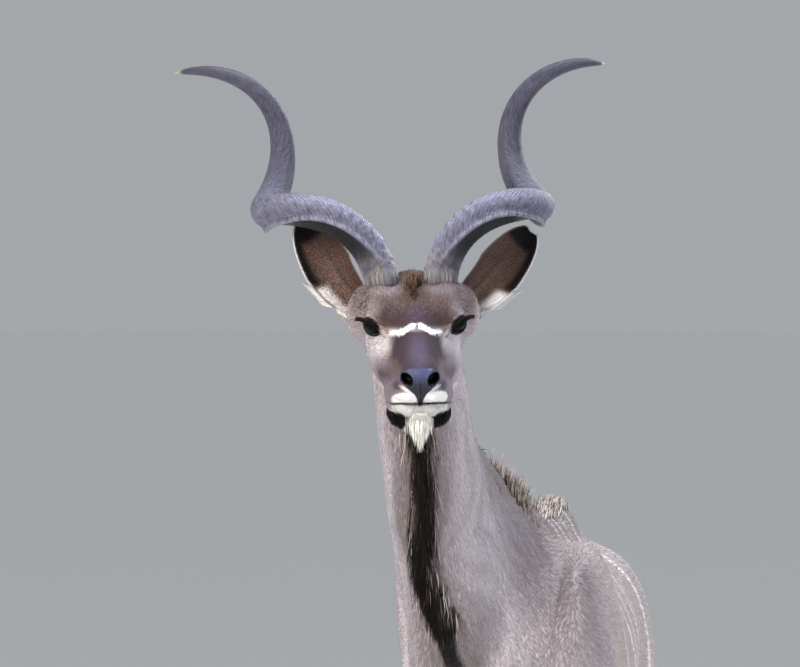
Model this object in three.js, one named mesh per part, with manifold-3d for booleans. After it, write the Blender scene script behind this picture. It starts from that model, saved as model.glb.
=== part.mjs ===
// Greater kudu bull, a life-size still model: a slender young adult that stands square on four legs
// with its neck up and its head turned to look at the viewer.
// Millimetres, +Z up. The animal faces -Y and its left side is +X. The finished group stands with the
// middle of its own box over the origin and its soles at z = 0.
import * as THREE from 'three';
import { mergeVertices } from 'three/addons/utils/BufferGeometryUtils.js';
import Module from 'manifold-3d';

const wasm = await Module();
wasm.setup();

// Driving dimensions of the body
const WITHERS_HEIGHT = 1280;      // floor to skin over the shoulder blades
const CROUP_HEIGHT = 1250;        // floor to skin over the hips
const BACK_LENGTH = 850;          // withers to croup
const BARREL_HALF_WIDTH = 196;
const SHOULDER_HALF_WIDTH = 188;
const CHEST_FLOOR = 712;          // floor to the breastbone
const EYE_HEIGHT = 1600;
const EYE_REACH = 450;            // eyes in front of the withers
const HEAD_SIDE_STEP = -136;      // head stands this far to the animal's right of the back line
const HEAD_YAW = 6.9;             // degrees, nose towards the animal's left
const HORN_YAW = 8.8;             // degrees, horns and ears are set a little further round on the skull
const HEAD_ROLL = 1.2;            // degrees, left side higher
const HEAD_PITCH = 24;            // degrees, face line nose down from level
const GAP = 0.3;                  // left between touching pieces

// Driving dimensions of the head, in its own frame: origin midway between the eyes, +Y back along the
// face line, +Z square to it
const EYE_SPREAD = 66;            // eyeball centre from the middle plane
const EYE_RADIUS = 20;
const NOSE_REACH = 232;           // eyes to the front of the nose pad
const EAR_LENGTH = 200;
const EAR_WIDTH = 86;
const HORN_BASE_RADIUS = 31.5;
const HORN_SPREAD = 50;           // horn base centre from the middle plane
const HORN_RISE = 73.6;
const HORN_SETBACK = 75;

// Driving dimensions of the legs
const FORE_SPREAD = 100;          // foot centre from the middle plane
const HIND_SPREAD = 104;
const CARPUS_HEIGHT = 445;
const HOCK_HEIGHT = 520;
const FETLOCK_HEIGHT = 152;
const CORONET_HEIGHT = 60;
const HOOF_LENGTH = 92;
const CLAW_WIDTH = 31;

const v3 = (x, y, z) => new THREE.Vector3(x, y, z);
const rad = THREE.MathUtils.degToRad;
const mix = (a, b, t) => a + (b - a) * t;

// Head frame to body frame
const headToBody = new THREE.Matrix4().makeTranslation(HEAD_SIDE_STEP, -EYE_REACH, EYE_HEIGHT)
  .multiply(new THREE.Matrix4().makeRotationZ(rad(HEAD_YAW)))
  .multiply(new THREE.Matrix4().makeRotationY(rad(-HEAD_ROLL)))
  .multiply(new THREE.Matrix4().makeRotationX(rad(HEAD_PITCH)));
const bodyToHead = headToBody.clone().invert();
const fromHead = (x, y, z) => v3(x, y, z).applyMatrix4(headToBody);

// Flesh is a field: below zero inside. Masses are ellipsoids and tapered limbs, blended softly.

function ball(centre, radii) {
  const [cx, cy, cz] = centre;
  const [rx, ry, rz] = radii;
  return (p) => {
    const x = p.x - cx;
    const y = p.y - cy;
    const z = p.z - cz;
    const near = Math.hypot(x / rx, y / ry, z / rz);
    const steep = Math.hypot(x / (rx * rx), y / (ry * ry), z / (rz * rz));
    return steep > 1e-9 ? near * (near - 1) / steep : -Math.min(rx, ry, rz);
  };
}

function limb(from, to, fromRadius, toRadius) {
  const a = v3(...from);
  const along = v3(...to).sub(a);
  const length2 = along.lengthSq();
  const d = v3(0, 0, 0);
  return (p) => {
    d.subVectors(p, a);
    const t = Math.min(1, Math.max(0, d.dot(along) / length2));
    const radius = mix(fromRadius, toRadius, t);
    return d.addScaledVector(along, -t).length() - radius;
  };
}

// A run of tapered limbs with no swelling at its joints; each point is x, y, z and radius
function chain(points) {
  const limbs = points.slice(1).map((to, i) => (
    limb(points[i].slice(0, 3), to.slice(0, 3), points[i][3], to[3])));
  return (p) => Math.min(...limbs.map((piece) => piece(p)));
}

function blend(masses) {
  return (p) => {
    let distance = 1e9;
    for (const [mass, softness] of masses) {
      const d = mass(p);
      const h = Math.max(softness - Math.abs(distance - d), 0) / softness;
      distance = Math.min(distance, d) - h * h * softness / 4;
    }
    return distance;
  };
}

const bothSides = (make) => [make(1), make(-1)];

// Head masses, in the head's frame
const headMasses = [
  [ball([0, 62, -22], [66, 92, 66]), 20],
  [ball([0, 22, 2], [54, 74, 34]), 24],
  ...bothSides((s) => [ball([s * 58, 2, 3], [26, 34, 27]), 22]),
  ...bothSides((s) => [limb([s * 40, 28, 26], [s * 64, -8, 24], 14, 8), 16]),
  ...bothSides((s) => [ball([s * 46, 26, -56], [32, 74, 52]), 26]),
  ...bothSides((s) => [limb([s * 40, 62, -86], [s * 20, -152, -58], 30, 18), 24]),
  [limb([0, -10, -8], [0, -188, -5], 41, 29), 26],
  [ball([0, -120, -30], [38, 80, 36]), 24],
  [ball([0, -190, -13], [37, 39, 38]), 16],
  [ball([0, -207, 3], [32, 25, 22]), 10],
  ...bothSides((s) => [ball([s * 22, -197, -28], [25, 31, 16]), 9]),
  [limb([0, -200, -61], [0, -142, -67], 21, 27), 12],
  ...bothSides((s) => [ball([s * 20, -188, -58], [24, 32, 17]), 12]),
  ...bothSides((s) => [ball([s * 31, -170, -41], [24, 34, 26]), 12]),
  ...bothSides((s) => [ball([s * 30, -158, -70], [25, 32, 28]), 14]),
  ...bothSides((s) => [limb([s * 50, 72, 14], [s * 74, 84, 10], 30, 22), 18]),
  ...bothSides((s) => [ball([s * 55, 54, 12], [30, 49, 30]), 24]),
  ...bothSides((s) => [ball([s * 80, 85, -24], [35, 38, 41]), 24]),
  ...bothSides((s) => [limb([s * 42, -46, -54], [s * 36, -150, -52], 22, 20), 18]),
];
const headField = blend(headMasses);

// Neck masses: a round column with a crest line behind and the windpipe in front
const neckTop = fromHead(0, 112, -58).toArray();
const nape = fromHead(0, 118, -8).toArray();
const throat = fromHead(0, 84, -100).toArray();
const NECK_MIDDLE = [-135, -232, 1395];
const NECK_LOW = [-115, -150, 1270];
const NECK_BASE = [-52, -34, 1110];
const NAPE_MIDDLE = [-112, -146, 1396];
const NAPE_LOW = [-12, 30, WITHERS_HEIGHT - 58];
const THROAT_LOW = [-88, -168, 1060];
const neckMasses = [
  [chain([[...neckTop, 78], [...NECK_MIDDLE, 84], [...NECK_LOW, 97], [...NECK_BASE, 150]]), 40],
  [chain([[...nape, 46], [...NAPE_MIDDLE, 42], [...NAPE_LOW, 54]]), 40],
  [limb(throat, THROAT_LOW, 42, 74), 40],
];

// Trunk masses: chest, barrel, loin, rump, shoulders, thighs and the ridge of the back
const SPINE_DROP = 44;            // ridge centre below the skin of the back
const trunkMasses = [
  [ball([0, 70, 975], [150, 240, 975 - CHEST_FLOOR]), 60],
  [ball([0, 350, 958], [BARREL_HALF_WIDTH - 4, 410, 240]), 80],
  [ball([0, 660, 1016], [168, 300, 170]), 80],
  [ball([0, 880, 1030], [148, 222, 148]), 70],
  [ball([0, -90, 930], [104, 118, 165]), 60],
  ...bothSides((s) => [ball([s * (SHOULDER_HALF_WIDTH - 66), 12, 1010], [60, 190, 200]), 70]),
  ...bothSides((s) => [limb([s * 104, -110, 985], [s * 114, 30, 860], 66, 64), 60]),
  ...bothSides((s) => [limb([s * 106, 70, 930], [s * 110, 46, 800], 72, 50), 60]),
  ...bothSides((s) => [ball([s * 88, 910, 965], [80, 205, 175]), 80]),
  ...bothSides((s) => [limb([s * 92, 860, 945], [s * 112, 808, 862], 84, 68), 60]),
  [chain([[0, -30, WITHERS_HEIGHT - SPINE_DROP, 40], [0, 210, 1212, 36], [0, 600, 1202, 36],
    [0, BACK_LENGTH, CROUP_HEIGHT - SPINE_DROP, 42], [0, 1070, 1148, 30]]), 60],
];

// Leg masses, from the elbow or stifle down to the coronet
function foreLegMasses(s, step) {
  const x = s * FORE_SPREAD;
  return [
    [chain([[s * 112, 34, 850, 66], [s * 108, 14, 700, 47], [x, step - 2, CARPUS_HEIGHT + 50, 31]]), 40],
    [ball([x, step - 6, CARPUS_HEIGHT], [31, 34, 48]), 24],
    [limb([x, step, CARPUS_HEIGHT - 30], [x, step, FETLOCK_HEIGHT + 30], 24, 20), 20],
    [limb([x, step + 10, CARPUS_HEIGHT - 30], [x, step + 12, FETLOCK_HEIGHT + 30], 18, 15), 16],
    [ball([x, step + 3, FETLOCK_HEIGHT], [26, 30, 32]), 20],
    [limb([x, step - 2, FETLOCK_HEIGHT - 14], [x, step - 30, CORONET_HEIGHT + 14], 22, 25), 18],
    ...bothSides((k) => [ball([x + k * 15, step - 36, CORONET_HEIGHT], [17, 34, 24]), 10]),
  ];
}

const HIND_FOOT_Y = 950;
function hindLegMasses(s, step) {
  const x = s * HIND_SPREAD;
  const foot = HIND_FOOT_Y + step;
  return [
    [chain([[s * 124, 850, 830, 88], [s * 116, foot - 18, 720, 62], [s * 110, foot + 44, 600, 37]]), 50],
    [limb([s * 118, foot + 30, 740], [x, foot + 82, HOCK_HEIGHT + 48], 34, 21), 40],
    [ball([x, foot + 82, HOCK_HEIGHT + 34], [23, 28, 38]), 24],
    [chain([[s * 110, foot + 44, 600, 37], [x, foot + 52, HOCK_HEIGHT, 33],
      [x, foot + 54, HOCK_HEIGHT - 60, 27],
      [x, foot + 38, FETLOCK_HEIGHT + 34, 21]]), 24],
    [limb([x, foot + 68, HOCK_HEIGHT - 20], [x, foot + 50, FETLOCK_HEIGHT + 34], 20, 15), 18],
    [ball([x, foot + 40, FETLOCK_HEIGHT + 2], [27, 31, 33]), 20],
    [limb([x, foot + 34, FETLOCK_HEIGHT - 14], [x, foot + 6, CORONET_HEIGHT + 14], 23, 25), 18],
    ...bothSides((k) => [ball([x + k * 15, foot, CORONET_HEIGHT], [17, 34, 24]), 10]),
  ];
}

const LEGS = [
  { name: 'leg_fore_left', side: 1, step: -22, masses: foreLegMasses },
  { name: 'leg_fore_right', side: -1, step: 14, masses: foreLegMasses },
  { name: 'leg_hind_left', side: 1, step: 34, masses: hindLegMasses },
  { name: 'leg_hind_right', side: -1, step: -26, masses: hindLegMasses },
];

const torsoFlesh = blend([...trunkMasses, ...neckMasses, ...LEGS.flatMap((l) => l.masses(l.side, l.step))]);
const inHead = v3(0, 0, 0);
const flesh = (p) => {
  const body = torsoFlesh(p);
  if (p.z < 1350) return body;
  inHead.copy(p).applyMatrix4(bodyToHead);
  const head = headField(inHead);
  const softness = 34;
  const h = Math.max(softness - Math.abs(body - head), 0) / softness;
  return Math.min(body, head) - h * h * softness / 4;
};

// Casting: a ray leaves a point inside a field and stops where the field reaches the wanted level
const STRIDE = 5;
function cast(field, from, direction, level = 0) {
  const p = v3(0, 0, 0);
  const at = (r) => field(p.copy(direction).multiplyScalar(r).add(from)) - level;
  let inner = 0;
  let outer = STRIDE;
  while (at(outer) < 0) {
    inner = outer;
    outer += Math.max(STRIDE, -at(outer) * 0.5);
    if (outer > 1500) return 1500;
  }
  for (let i = 0; i < 14; i += 1) {
    const middle = (inner + outer) / 2;
    if (at(middle) < 0) inner = middle;
    else outer = middle;
  }
  return (inner + outer) / 2;
}

// A closed solid from a sphere's vertices: place(t, angle) puts a ring vertex, t runs 0 to 1 from one
// pole to the other, and the poles are placed with angle null
function placed(segments, rows, place) {
  const sphere = new THREE.SphereGeometry(1, segments, rows);
  sphere.deleteAttribute('normal');
  sphere.deleteAttribute('uv');
  const position = sphere.attributes.position;
  for (let i = 0; i < position.count; i += 1) {
    const row = Math.floor(i / (segments + 1));
    const column = (i % (segments + 1)) % segments;
    const pole = row === 0 || row === rows;
    const t = pole ? row / rows : (row - 1) / (rows - 2);
    const p = place(t, pole ? null : (column / segments) * 2 * Math.PI, row - 1);
    position.setXYZ(i, p.x, p.y, p.z);
  }
  return outward(mergeVertices(sphere, 1e-3));
}

// Faces are turned to point out where the placing has mirrored them
function outward(geometry) {
  const position = geometry.attributes.position;
  const index = geometry.index.array;
  const corner = [v3(0, 0, 0), v3(0, 0, 0), v3(0, 0, 0)];
  let volume = 0;
  for (let i = 0; i < index.length; i += 3) {
    corner.forEach((c, k) => c.fromBufferAttribute(position, index[i + k]));
    volume += corner[0].dot(corner[1].clone().cross(corner[2]));
  }
  if (volume < 0) {
    for (let i = 0; i < index.length; i += 3) {
      [index[i], index[i + 1]] = [index[i + 1], index[i]];
    }
  }
  return geometry;
}

function solid(geometry) {
  const merged = geometry.index ? geometry : mergeVertices(geometry, 1e-3);
  return new wasm.Manifold(new wasm.Mesh({
    numProp: 3,
    vertProperties: Float32Array.from(merged.attributes.position.array),
    triVerts: Uint32Array.from(merged.index.array),
  }));
}

function plain(geometry) {
  geometry.deleteAttribute('normal');
  geometry.deleteAttribute('uv');
  return solid(outward(mergeVertices(geometry, 1e-3)));
}

// Only the largest closed surface of a solid is kept
function largest(shape) {
  return shape.decompose().sort((a, b) => b.volume() - a.volume())[0];
}

function toGeometry(shape) {
  const mesh = shape.getMesh();
  const geometry = new THREE.BufferGeometry();
  geometry.setAttribute('position', new THREE.BufferAttribute(Float32Array.from(mesh.vertProperties), 3));
  geometry.setIndex(Array.from(mesh.triVerts));
  return geometry;
}

// A loft of rings cast onto a field. A station is a ring's centre, its two directions and the tilt of its
// rays towards the way ahead; the first and last rings close at a pole cast straight along that way.
function castLoft(stations, segments, field, level = 0) {
  const first = stations[0];
  const last = stations[stations.length - 1];
  return solid(placed(segments, stations.length + 1, (t, angle, row) => {
    if (angle === null) {
      const end = t === 0 ? first : last;
      const way = end.ahead.clone().multiplyScalar(t === 0 ? -1 : 1);
      return way.multiplyScalar(cast(field, end.centre, way, level)).add(end.centre);
    }
    const station = stations[row];
    const ray = station.across.clone().multiplyScalar(Math.cos(angle))
      .addScaledVector(station.up, Math.sin(angle))
      .multiplyScalar(Math.cos(station.tilt))
      .addScaledVector(station.ahead, Math.sin(station.tilt));
    return ray.multiplyScalar(cast(field, station.centre, ray, level)).add(station.centre);
  }));
}

const ringAt = (centre, across, up, tilt = 0) => {
  const ahead = across.clone().cross(up).normalize();
  return { centre, across: across.clone().normalize(), up: up.clone().normalize(), ahead, tilt };
};

// Rings on a straight run between two ring frames, ends included
function run(from, to, count, ease = (t) => t) {
  return Array.from({ length: count }, (_, i) => {
    const t = ease(count === 1 ? 0 : i / (count - 1));
    return ringAt(from.centre.clone().lerp(to.centre, t), from.across.clone().lerp(to.across, t),
      from.up.clone().lerp(to.up, t), mix(from.tilt, to.tilt, t));
  });
}

const fan = (ring, fromTilt, toTilt, count) => Array.from({ length: count }, (_, i) => (
  { ...ring, tilt: rad(mix(fromTilt, toTilt, i / (count - 1))) }));

// Cuts. A big box stands for everything on the far side of a plane.
const FAR = 6000;
function beyond(point, normal, shift = 0) {
  const box = new THREE.BoxGeometry(FAR, FAR, FAR);
  box.translate(0, 0, FAR / 2);
  box.applyQuaternion(new THREE.Quaternion().setFromUnitVectors(v3(0, 0, 1), normal));
  const start = point.clone().addScaledVector(normal, shift);
  box.translate(start.x, start.y, start.z);
  return plain(box);
}

// Where the neck meets the head and the torso
const headCut = {
  point: fromHead(0, 155, -40),
  normal: v3(0, 0.703, -0.711).transformDirection(headToBody),
};
const neckCut = { point: v3(0, -40, 1290), normal: v3(0, -0.9, 0.436).normalize() };
const beyondPlane = (cut) => (p) => cut.normal.dot(p) - cut.normal.dot(cut.point);
const pastHead = beyondPlane(headCut);
const pastNeckBase = beyondPlane(neckCut);

// Where each leg meets the torso: a slanted line from the armpit or groin out to the flank, seen from the
// front, swept from front to back
const LEG_CUTS = {
  fore: { inner: [58, 748], slope: 42, front: -96, back: 130 },
  hind: { inner: [26, 800], slope: 22, front: 664, back: 1180 },
};
const legCut = (leg) => LEG_CUTS[leg.name.includes('fore') ? 'fore' : 'hind'];

function legRegion(leg) {
  const { inner, slope, front, back } = legCut(leg);
  const angle = rad(slope);
  return (p) => {
    const x = p.x * leg.side - inner[0];
    const overTop = (p.z - inner[1]) * Math.cos(angle) - x * Math.sin(angle);
    return Math.max(-x, overTop, front - p.y, p.y - back);
  };
}

function legPrism(leg, inset) {
  const { inner, slope, front, back } = legCut(leg);
  const x0 = inner[0] + inset;
  const x1 = 420;
  const z0 = inner[1] + inset * Math.tan(rad(slope)) - inset / Math.cos(rad(slope));
  const z1 = z0 + (x1 - x0) * Math.tan(rad(slope));
  const outline = new THREE.Shape([
    new THREE.Vector2(leg.side * x0, -80), new THREE.Vector2(leg.side * x1, -80),
    new THREE.Vector2(leg.side * x1, z1), new THREE.Vector2(leg.side * x0, z0)]);
  const depth = back - front - 2 * inset;
  const prism = new THREE.ExtrudeGeometry(outline, { depth, bevelEnabled: false });
  prism.rotateX(Math.PI / 2);
  prism.translate(0, back - inset, 0);
  return plain(prism);
}

const OVERLAP = 7;                // rays run this far past a cut before the cut is made

// Torso
const torsoCore = (y, z, tilt = 0) => ringAt(v3(0, y, z), v3(-1, 0, 0), v3(0, 0, 1), tilt);
const legRegions = LEGS.map(legRegion);
const torsoField = (p) => Math.max(flesh(p), pastNeckBase(p) - OVERLAP,
  ...legRegions.map((region) => -region(p) - OVERLAP));
const TORSO_SIDES = 28;
const RING_PLACES = [-104, -66, -22, 26, 80, 124, 136, 190, 255, 330, 410, 490, 565, 630, 658, 690, 730,
  775, 820, 865, 915];
const torsoStations = [
  ...fan(torsoCore(-112, 944), -74, -12, 5),
  ...RING_PLACES.map((y) => torsoCore(y, mix(952, 1070, (y + 104) / 1019))),
  ...fan(torsoCore(922, 1072), 14, 74, 5),
];
const torsoRaw = castLoft(torsoStations, TORSO_SIDES, torsoField);
const torsoProud = castLoft(torsoStations, TORSO_SIDES, torsoField, GAP);
let torso = torsoRaw.subtract(beyond(neckCut.point, neckCut.normal));
for (const leg of LEGS) torso = torso.subtract(legPrism(leg, 0));
torso = largest(torso);

// Neck
const NECK_SIDES = 24;
const NECK_RINGS = 14;
function facing(centre, ahead, across) {
  const side = across.clone().addScaledVector(ahead, -across.dot(ahead)).normalize();
  return ringAt(centre, side, ahead.clone().cross(side));
}
const neckLine = new THREE.CatmullRomCurve3([
  headCut.point.clone().addScaledVector(headCut.normal, -2),
  v3(...NECK_MIDDLE), v3(...NECK_LOW), v3(-34, -131, 1114)]);
const neckStations = Array.from({ length: NECK_RINGS }, (_, i) => {
  const t = i / (NECK_RINGS - 1);
  const ahead = headCut.normal.clone().lerp(neckCut.normal.clone().negate(), t);
  const downTurn = Math.sin(Math.PI * t) * 0.55;
  ahead.addScaledVector(v3(0, 0, -1), downTurn).normalize();
  return facing(neckLine.getPoint(t), ahead, v3(-1, 0, 0));
});
const neckField = (p) => Math.max(flesh(p), -pastHead(p) - OVERLAP, -pastNeckBase(p) - OVERLAP);
let neck = castLoft(neckStations, NECK_SIDES, neckField);
neck = neck.subtract(beyond(headCut.point, headCut.normal.clone().negate(), -GAP));
neck = largest(neck.subtract(beyond(neckCut.point, neckCut.normal.clone().negate(), -GAP)));

// Head, with sockets, lids, nostrils and the line of the mouth
const HEAD_SIDES = 32;
const headAcross = v3(-1, 0, 0).transformDirection(headToBody);
const headUp = v3(0, 0, 1).transformDirection(headToBody);
const headRing = (y, z) => ringAt(fromHead(0, y, z), headAcross, headUp);
const headBack = facing(fromHead(0, 158, -44), headCut.normal, headAcross);
const headStations = [
  ...fan(headRing(-188, -14), -80, -8, 8),
  ...run(headRing(-182, -14), headRing(-22, -22), 10),
  ...run(headRing(-9, -22), headRing(62, -28), 8),
  ...run(headRing(78, -32), headBack, 5),
];
const headLimits = (p) => Math.max(flesh(p), pastHead(p) - OVERLAP);
const headRaw = castLoft(headStations, HEAD_SIDES, headLimits);
const headProud = castLoft(headStations, HEAD_SIDES, headLimits, GAP);
const MOUTH_DEPTH = 5;
const headCore = castLoft(headStations, HEAD_SIDES, headLimits, -MOUTH_DEPTH);

const inHeadFrame = (geometry) => plain(geometry.applyMatrix4(headToBody));
const mirrored = (geometry, side) => geometry.scale(side, 1, 1);
const EYE_SETBACK = 4;
const EYE_RAISE = 2;
const GAZE = v3(0.8, -0.6, 0.04).normalize();
const LID_THICKNESS = 3.2;

function eyeBall(side, radius) {
  const sphere = new THREE.SphereGeometry(radius, 12, 8);
  sphere.translate(EYE_SPREAD, EYE_SETBACK, EYE_RAISE);
  return inHeadFrame(mirrored(sphere, side));
}

const EYE_OPENING = { width: 37, height: 23, slant: 14, start: 9, depth: 30 };
function lidOpening(side) {
  const { width, height, slant, start, depth } = EYE_OPENING;
  const almond = new THREE.Shape();
  almond.moveTo(-width / 2, 0);
  almond.quadraticCurveTo(-width * 0.1, height, width / 2, 0);
  almond.quadraticCurveTo(0, -height * 0.92, -width / 2, 0);
  const prism = new THREE.ExtrudeGeometry(almond, { depth, bevelEnabled: false, curveSegments: 6 });
  prism.translate(0, 0, start);
  prism.rotateZ(rad(slant));
  const towardsTail = v3(-GAZE.y, GAZE.x, 0).normalize();
  const basis = new THREE.Matrix4().makeBasis(towardsTail, GAZE.clone().cross(towardsTail), GAZE);
  prism.applyMatrix4(basis);
  prism.translate(EYE_SPREAD, EYE_SETBACK, EYE_RAISE);
  return inHeadFrame(mirrored(prism, side));
}

function nostril(side) {
  const hollow = new THREE.SphereGeometry(1, 12, 8);
  hollow.scale(9.5, 13, 6.5);
  hollow.rotateY(rad(-24));
  hollow.rotateZ(rad(-28));
  hollow.translate(21, -NOSE_REACH + 6, 6);
  return inHeadFrame(mirrored(hollow, side));
}

function mouthLine() {
  const band = new THREE.Shape();
  band.moveTo(-260, -24);
  band.quadraticCurveTo(-200, -62, -138, -61);
  band.lineTo(-139, -63.5);
  band.quadraticCurveTo(-200, -64.7, -260, -26.7);
  const slab = new THREE.ExtrudeGeometry(band, { depth: 160, bevelEnabled: false, curveSegments: 5 });
  slab.translate(0, 0, -80);
  const toSide = new THREE.Matrix4().makeBasis(v3(0, 1, 0), v3(0, 0, 1), v3(1, 0, 0));
  slab.applyMatrix4(toSide);
  return inHeadFrame(slab).subtract(headCore);
}

let head = headRaw.subtract(beyond(headCut.point, headCut.normal));
for (const side of [1, -1]) {
  head = head.add(eyeBall(side, EYE_RADIUS + LID_THICKNESS));
  head = head.subtract(eyeBall(side, EYE_RADIUS + GAP)).subtract(lidOpening(side)).subtract(nostril(side));
}
head = largest(head.subtract(mouthLine()));

// Level head frame for horns and ears: turned and rolled as the head is, but not pitched
const levelHead = new THREE.Matrix4().makeTranslation(HEAD_SIDE_STEP, -EYE_REACH, EYE_HEIGHT)
  .multiply(new THREE.Matrix4().makeRotationZ(rad(HORN_YAW)))
  .multiply(new THREE.Matrix4().makeRotationY(rad(-HEAD_ROLL)));

// Ears: a deep cup on a narrow base behind the horns, open to the front and outwards
const EAR = {
  base: [94, 92, 14], opening: [0.34, -0.84, 0.2], wall: 2.6, cup: 34, root: 18, wrap: 12,
  rise: { 1: [0.58, 0.46, 0.67], [-1]: [0.4, 0.46, 0.78] },
};
function ear(side) {
  const rise = v3(...EAR.rise[side]).normalize();
  const back = v3(...EAR.opening).negate();
  back.addScaledVector(rise, -back.dot(rise)).normalize();
  const across = back.clone().cross(rise);
  const frame = new THREE.Matrix4().makeBasis(across, back, rise).setPosition(...EAR.base);
  const leaf = placed(12, 11, (t, angle) => {
    const height = mix(-EAR.root, EAR_LENGTH, t);
    const along = Math.max(0, height) / EAR_LENGTH;
    const bend = -14 * along * along;
    if (t === 0 && angle === null) return v3(0, EAR.cup * 0.6 + bend, height);
    if (angle === null) return v3(0, bend, EAR_LENGTH + 1.5);
    const tip = Math.sqrt(1 - Math.max(0, (along - 0.42) / 0.6) ** 2.3);
    const width = EAR_WIDTH * Math.min(1, 0.5 + 0.95 * along) * tip;
    const u = Math.cos(angle);
    const cup = EAR.cup * (1 - 0.8 * along) * (1 - u * u);
    const wall = EAR.wall * (1.3 - 0.6 * along) * Math.sin(angle);
    const wrap = EAR.wrap * (1 - THREE.MathUtils.smoothstep(along, 0.05, 0.5)) * (1 - u) / 2;
    return v3(u * width / 2 - wrap, cup + wall + bend, height);
  });
  leaf.applyMatrix4(frame);
  const shape = plain(mirrored(leaf, side).applyMatrix4(levelHead));
  return largest(shape.subtract(headProud).subtract(horn(side, 2)));
}

// Horns: an open screw whose line leans back and out; a keel runs along its lower front edge and fades
const HORN = {
  length: 641, recline: 36, spread: 28.4, start: 168.4, turn: 544,
  radii: [35, 78, 49.5, 51], turnEase: -0.078, lengthEase: 0.057,
  keel: 0.22, keelSpan: 0.4, keelTurn: 36, hollow: 0.14,
};
const HORN_SIDES = 10;
const HORN_ROWS = 34;

const hornAxis = v3(Math.cos(rad(HORN.recline)) * Math.sin(rad(HORN.spread)),
  Math.cos(rad(HORN.recline)) * Math.cos(rad(HORN.spread)), Math.sin(rad(HORN.recline)));
const hornOut = v3(Math.cos(rad(HORN.spread)), -Math.sin(rad(HORN.spread)), 0);
const hornRise = hornOut.clone().cross(hornAxis);

function hornRadial(t) {
  const phase = rad(HORN.start) - rad(HORN.turn) * (t + HORN.turnEase * t * (1 - t));
  return hornOut.clone().multiplyScalar(Math.cos(phase)).addScaledVector(hornRise, Math.sin(phase));
}

function hornLine(t) {
  const [r0, r1, r2, r3] = HORN.radii;
  const s = 1 - t;
  const radius = r0 * s ** 3 + 3 * r1 * t * s * s + 3 * r2 * t * t * s + r3 * t ** 3;
  const climb = HORN.length * (t + HORN.lengthEase * t * s);
  return v3(HORN_SPREAD, HORN_SETBACK, HORN_RISE)
    .addScaledVector(hornAxis, climb)
    .addScaledVector(hornRadial(t), radius)
    .addScaledVector(hornRadial(0), -r0);
}

function horn(side, grow = 0) {
  const spiral = placed(HORN_SIDES, HORN_ROWS, (t, angle) => {
    const centre = hornLine(t);
    const way = hornLine(Math.min(1, t + 0.01)).sub(hornLine(Math.max(0, t - 0.01))).normalize();
    if (angle === null) return t === 0 ? centre.addScaledVector(way, -26) : centre.addScaledVector(way, 3);
    if (t === 0) centre.addScaledVector(way, -26);
    const out = hornRadial(t);
    out.addScaledVector(way, -out.dot(way)).normalize();
    const keelWay = way.clone().cross(out);
    const radius = Math.max(1.6, HORN_BASE_RADIUS * (1 - t ** 2.2) ** 0.8) + grow;
    const fade = Math.min(1, Math.max(0, (0.62 - t) / 0.2)) * Math.min(1, t / 0.05 + 0.3);
    const turn = angle - rad(HORN.keelTurn) * THREE.MathUtils.smoothstep(t, 0.02, 0.24);
    const off = Math.atan2(Math.sin(turn), Math.cos(turn));
    const ridge = 1 + fade * (HORN.keel * Math.exp(-((off / HORN.keelSpan) ** 2))
      - HORN.hollow * Math.exp(-(((off + 0.85) / 0.4) ** 2)));
    return centre.addScaledVector(keelWay, Math.cos(angle) * radius * ridge)
      .addScaledVector(out, Math.sin(angle) * radius * 0.94);
  });
  const shape = plain(mirrored(spiral, side).applyMatrix4(levelHead));
  return largest(shape.subtract(headProud));
}

// Legs, from the slanted cut at the body down to the coronet
const CORONET_SLOPE = 17;
const coronetNormal = v3(0, -Math.sin(rad(CORONET_SLOPE)), -Math.cos(rad(CORONET_SLOPE)));
const LEG_SIDES = 14;

// The start of a leg's line, just above the cut
function topOf(leg, x, y) {
  const { inner, slope } = legCut(leg);
  return [leg.side * x, y, inner[1] + (x - inner[0]) * Math.tan(rad(slope)) + 2];
}

function legLine(leg) {
  const s = leg.side;
  if (leg.name.includes('fore')) {
    const x = s * FORE_SPREAD;
    const y = leg.step;
    return [topOf(leg, 112, 8), [s * 108, 12, 700], [x, y - 1, CARPUS_HEIGHT + 55],
      [x, y - 4, CARPUS_HEIGHT], [x, y + 5, CARPUS_HEIGHT - 70], [x, y + 6, FETLOCK_HEIGHT + 40],
      [x, y + 4, FETLOCK_HEIGHT], [x, y - 12, 108], [x, y - 34, CORONET_HEIGHT - 6]];
  }
  const x = s * HIND_SPREAD;
  const y = HIND_FOOT_Y + leg.step;
  return [topOf(leg, 118, 858), [s * 114, y - 12, 720], [s * 110, y + 48, 605],
    [x, y + 60, HOCK_HEIGHT + 20], [x, y + 58, HOCK_HEIGHT - 50], [x, y + 47, FETLOCK_HEIGHT + 60],
    [x, y + 40, FETLOCK_HEIGHT], [x, y + 20, 106], [x, y + 1, CORONET_HEIGHT - 6]];
}

function footOf(leg) {
  if (leg.name.includes('fore')) return v3(leg.side * FORE_SPREAD, leg.step - 36, 0);
  return v3(leg.side * HIND_SPREAD, HIND_FOOT_Y + leg.step, 0);
}

// Shares of a leg's line where its rings stand, close together at the cut and at the joints
const FORE_RINGS = [0, 0.012, 0.035, 0.065, 0.1, 0.145, 0.2, 0.26, 0.32, 0.38, 0.42, 0.455, 0.485, 0.515,
  0.55, 0.6, 0.68, 0.76, 0.81, 0.84, 0.87, 0.9, 0.93, 0.965, 1];
const HIND_RINGS = [0, 0.012, 0.035, 0.065, 0.1, 0.145, 0.19, 0.235, 0.28, 0.32, 0.355, 0.39, 0.42, 0.455,
  0.5, 0.57, 0.66, 0.75, 0.8, 0.835, 0.865, 0.895, 0.93, 0.965, 1];

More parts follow.
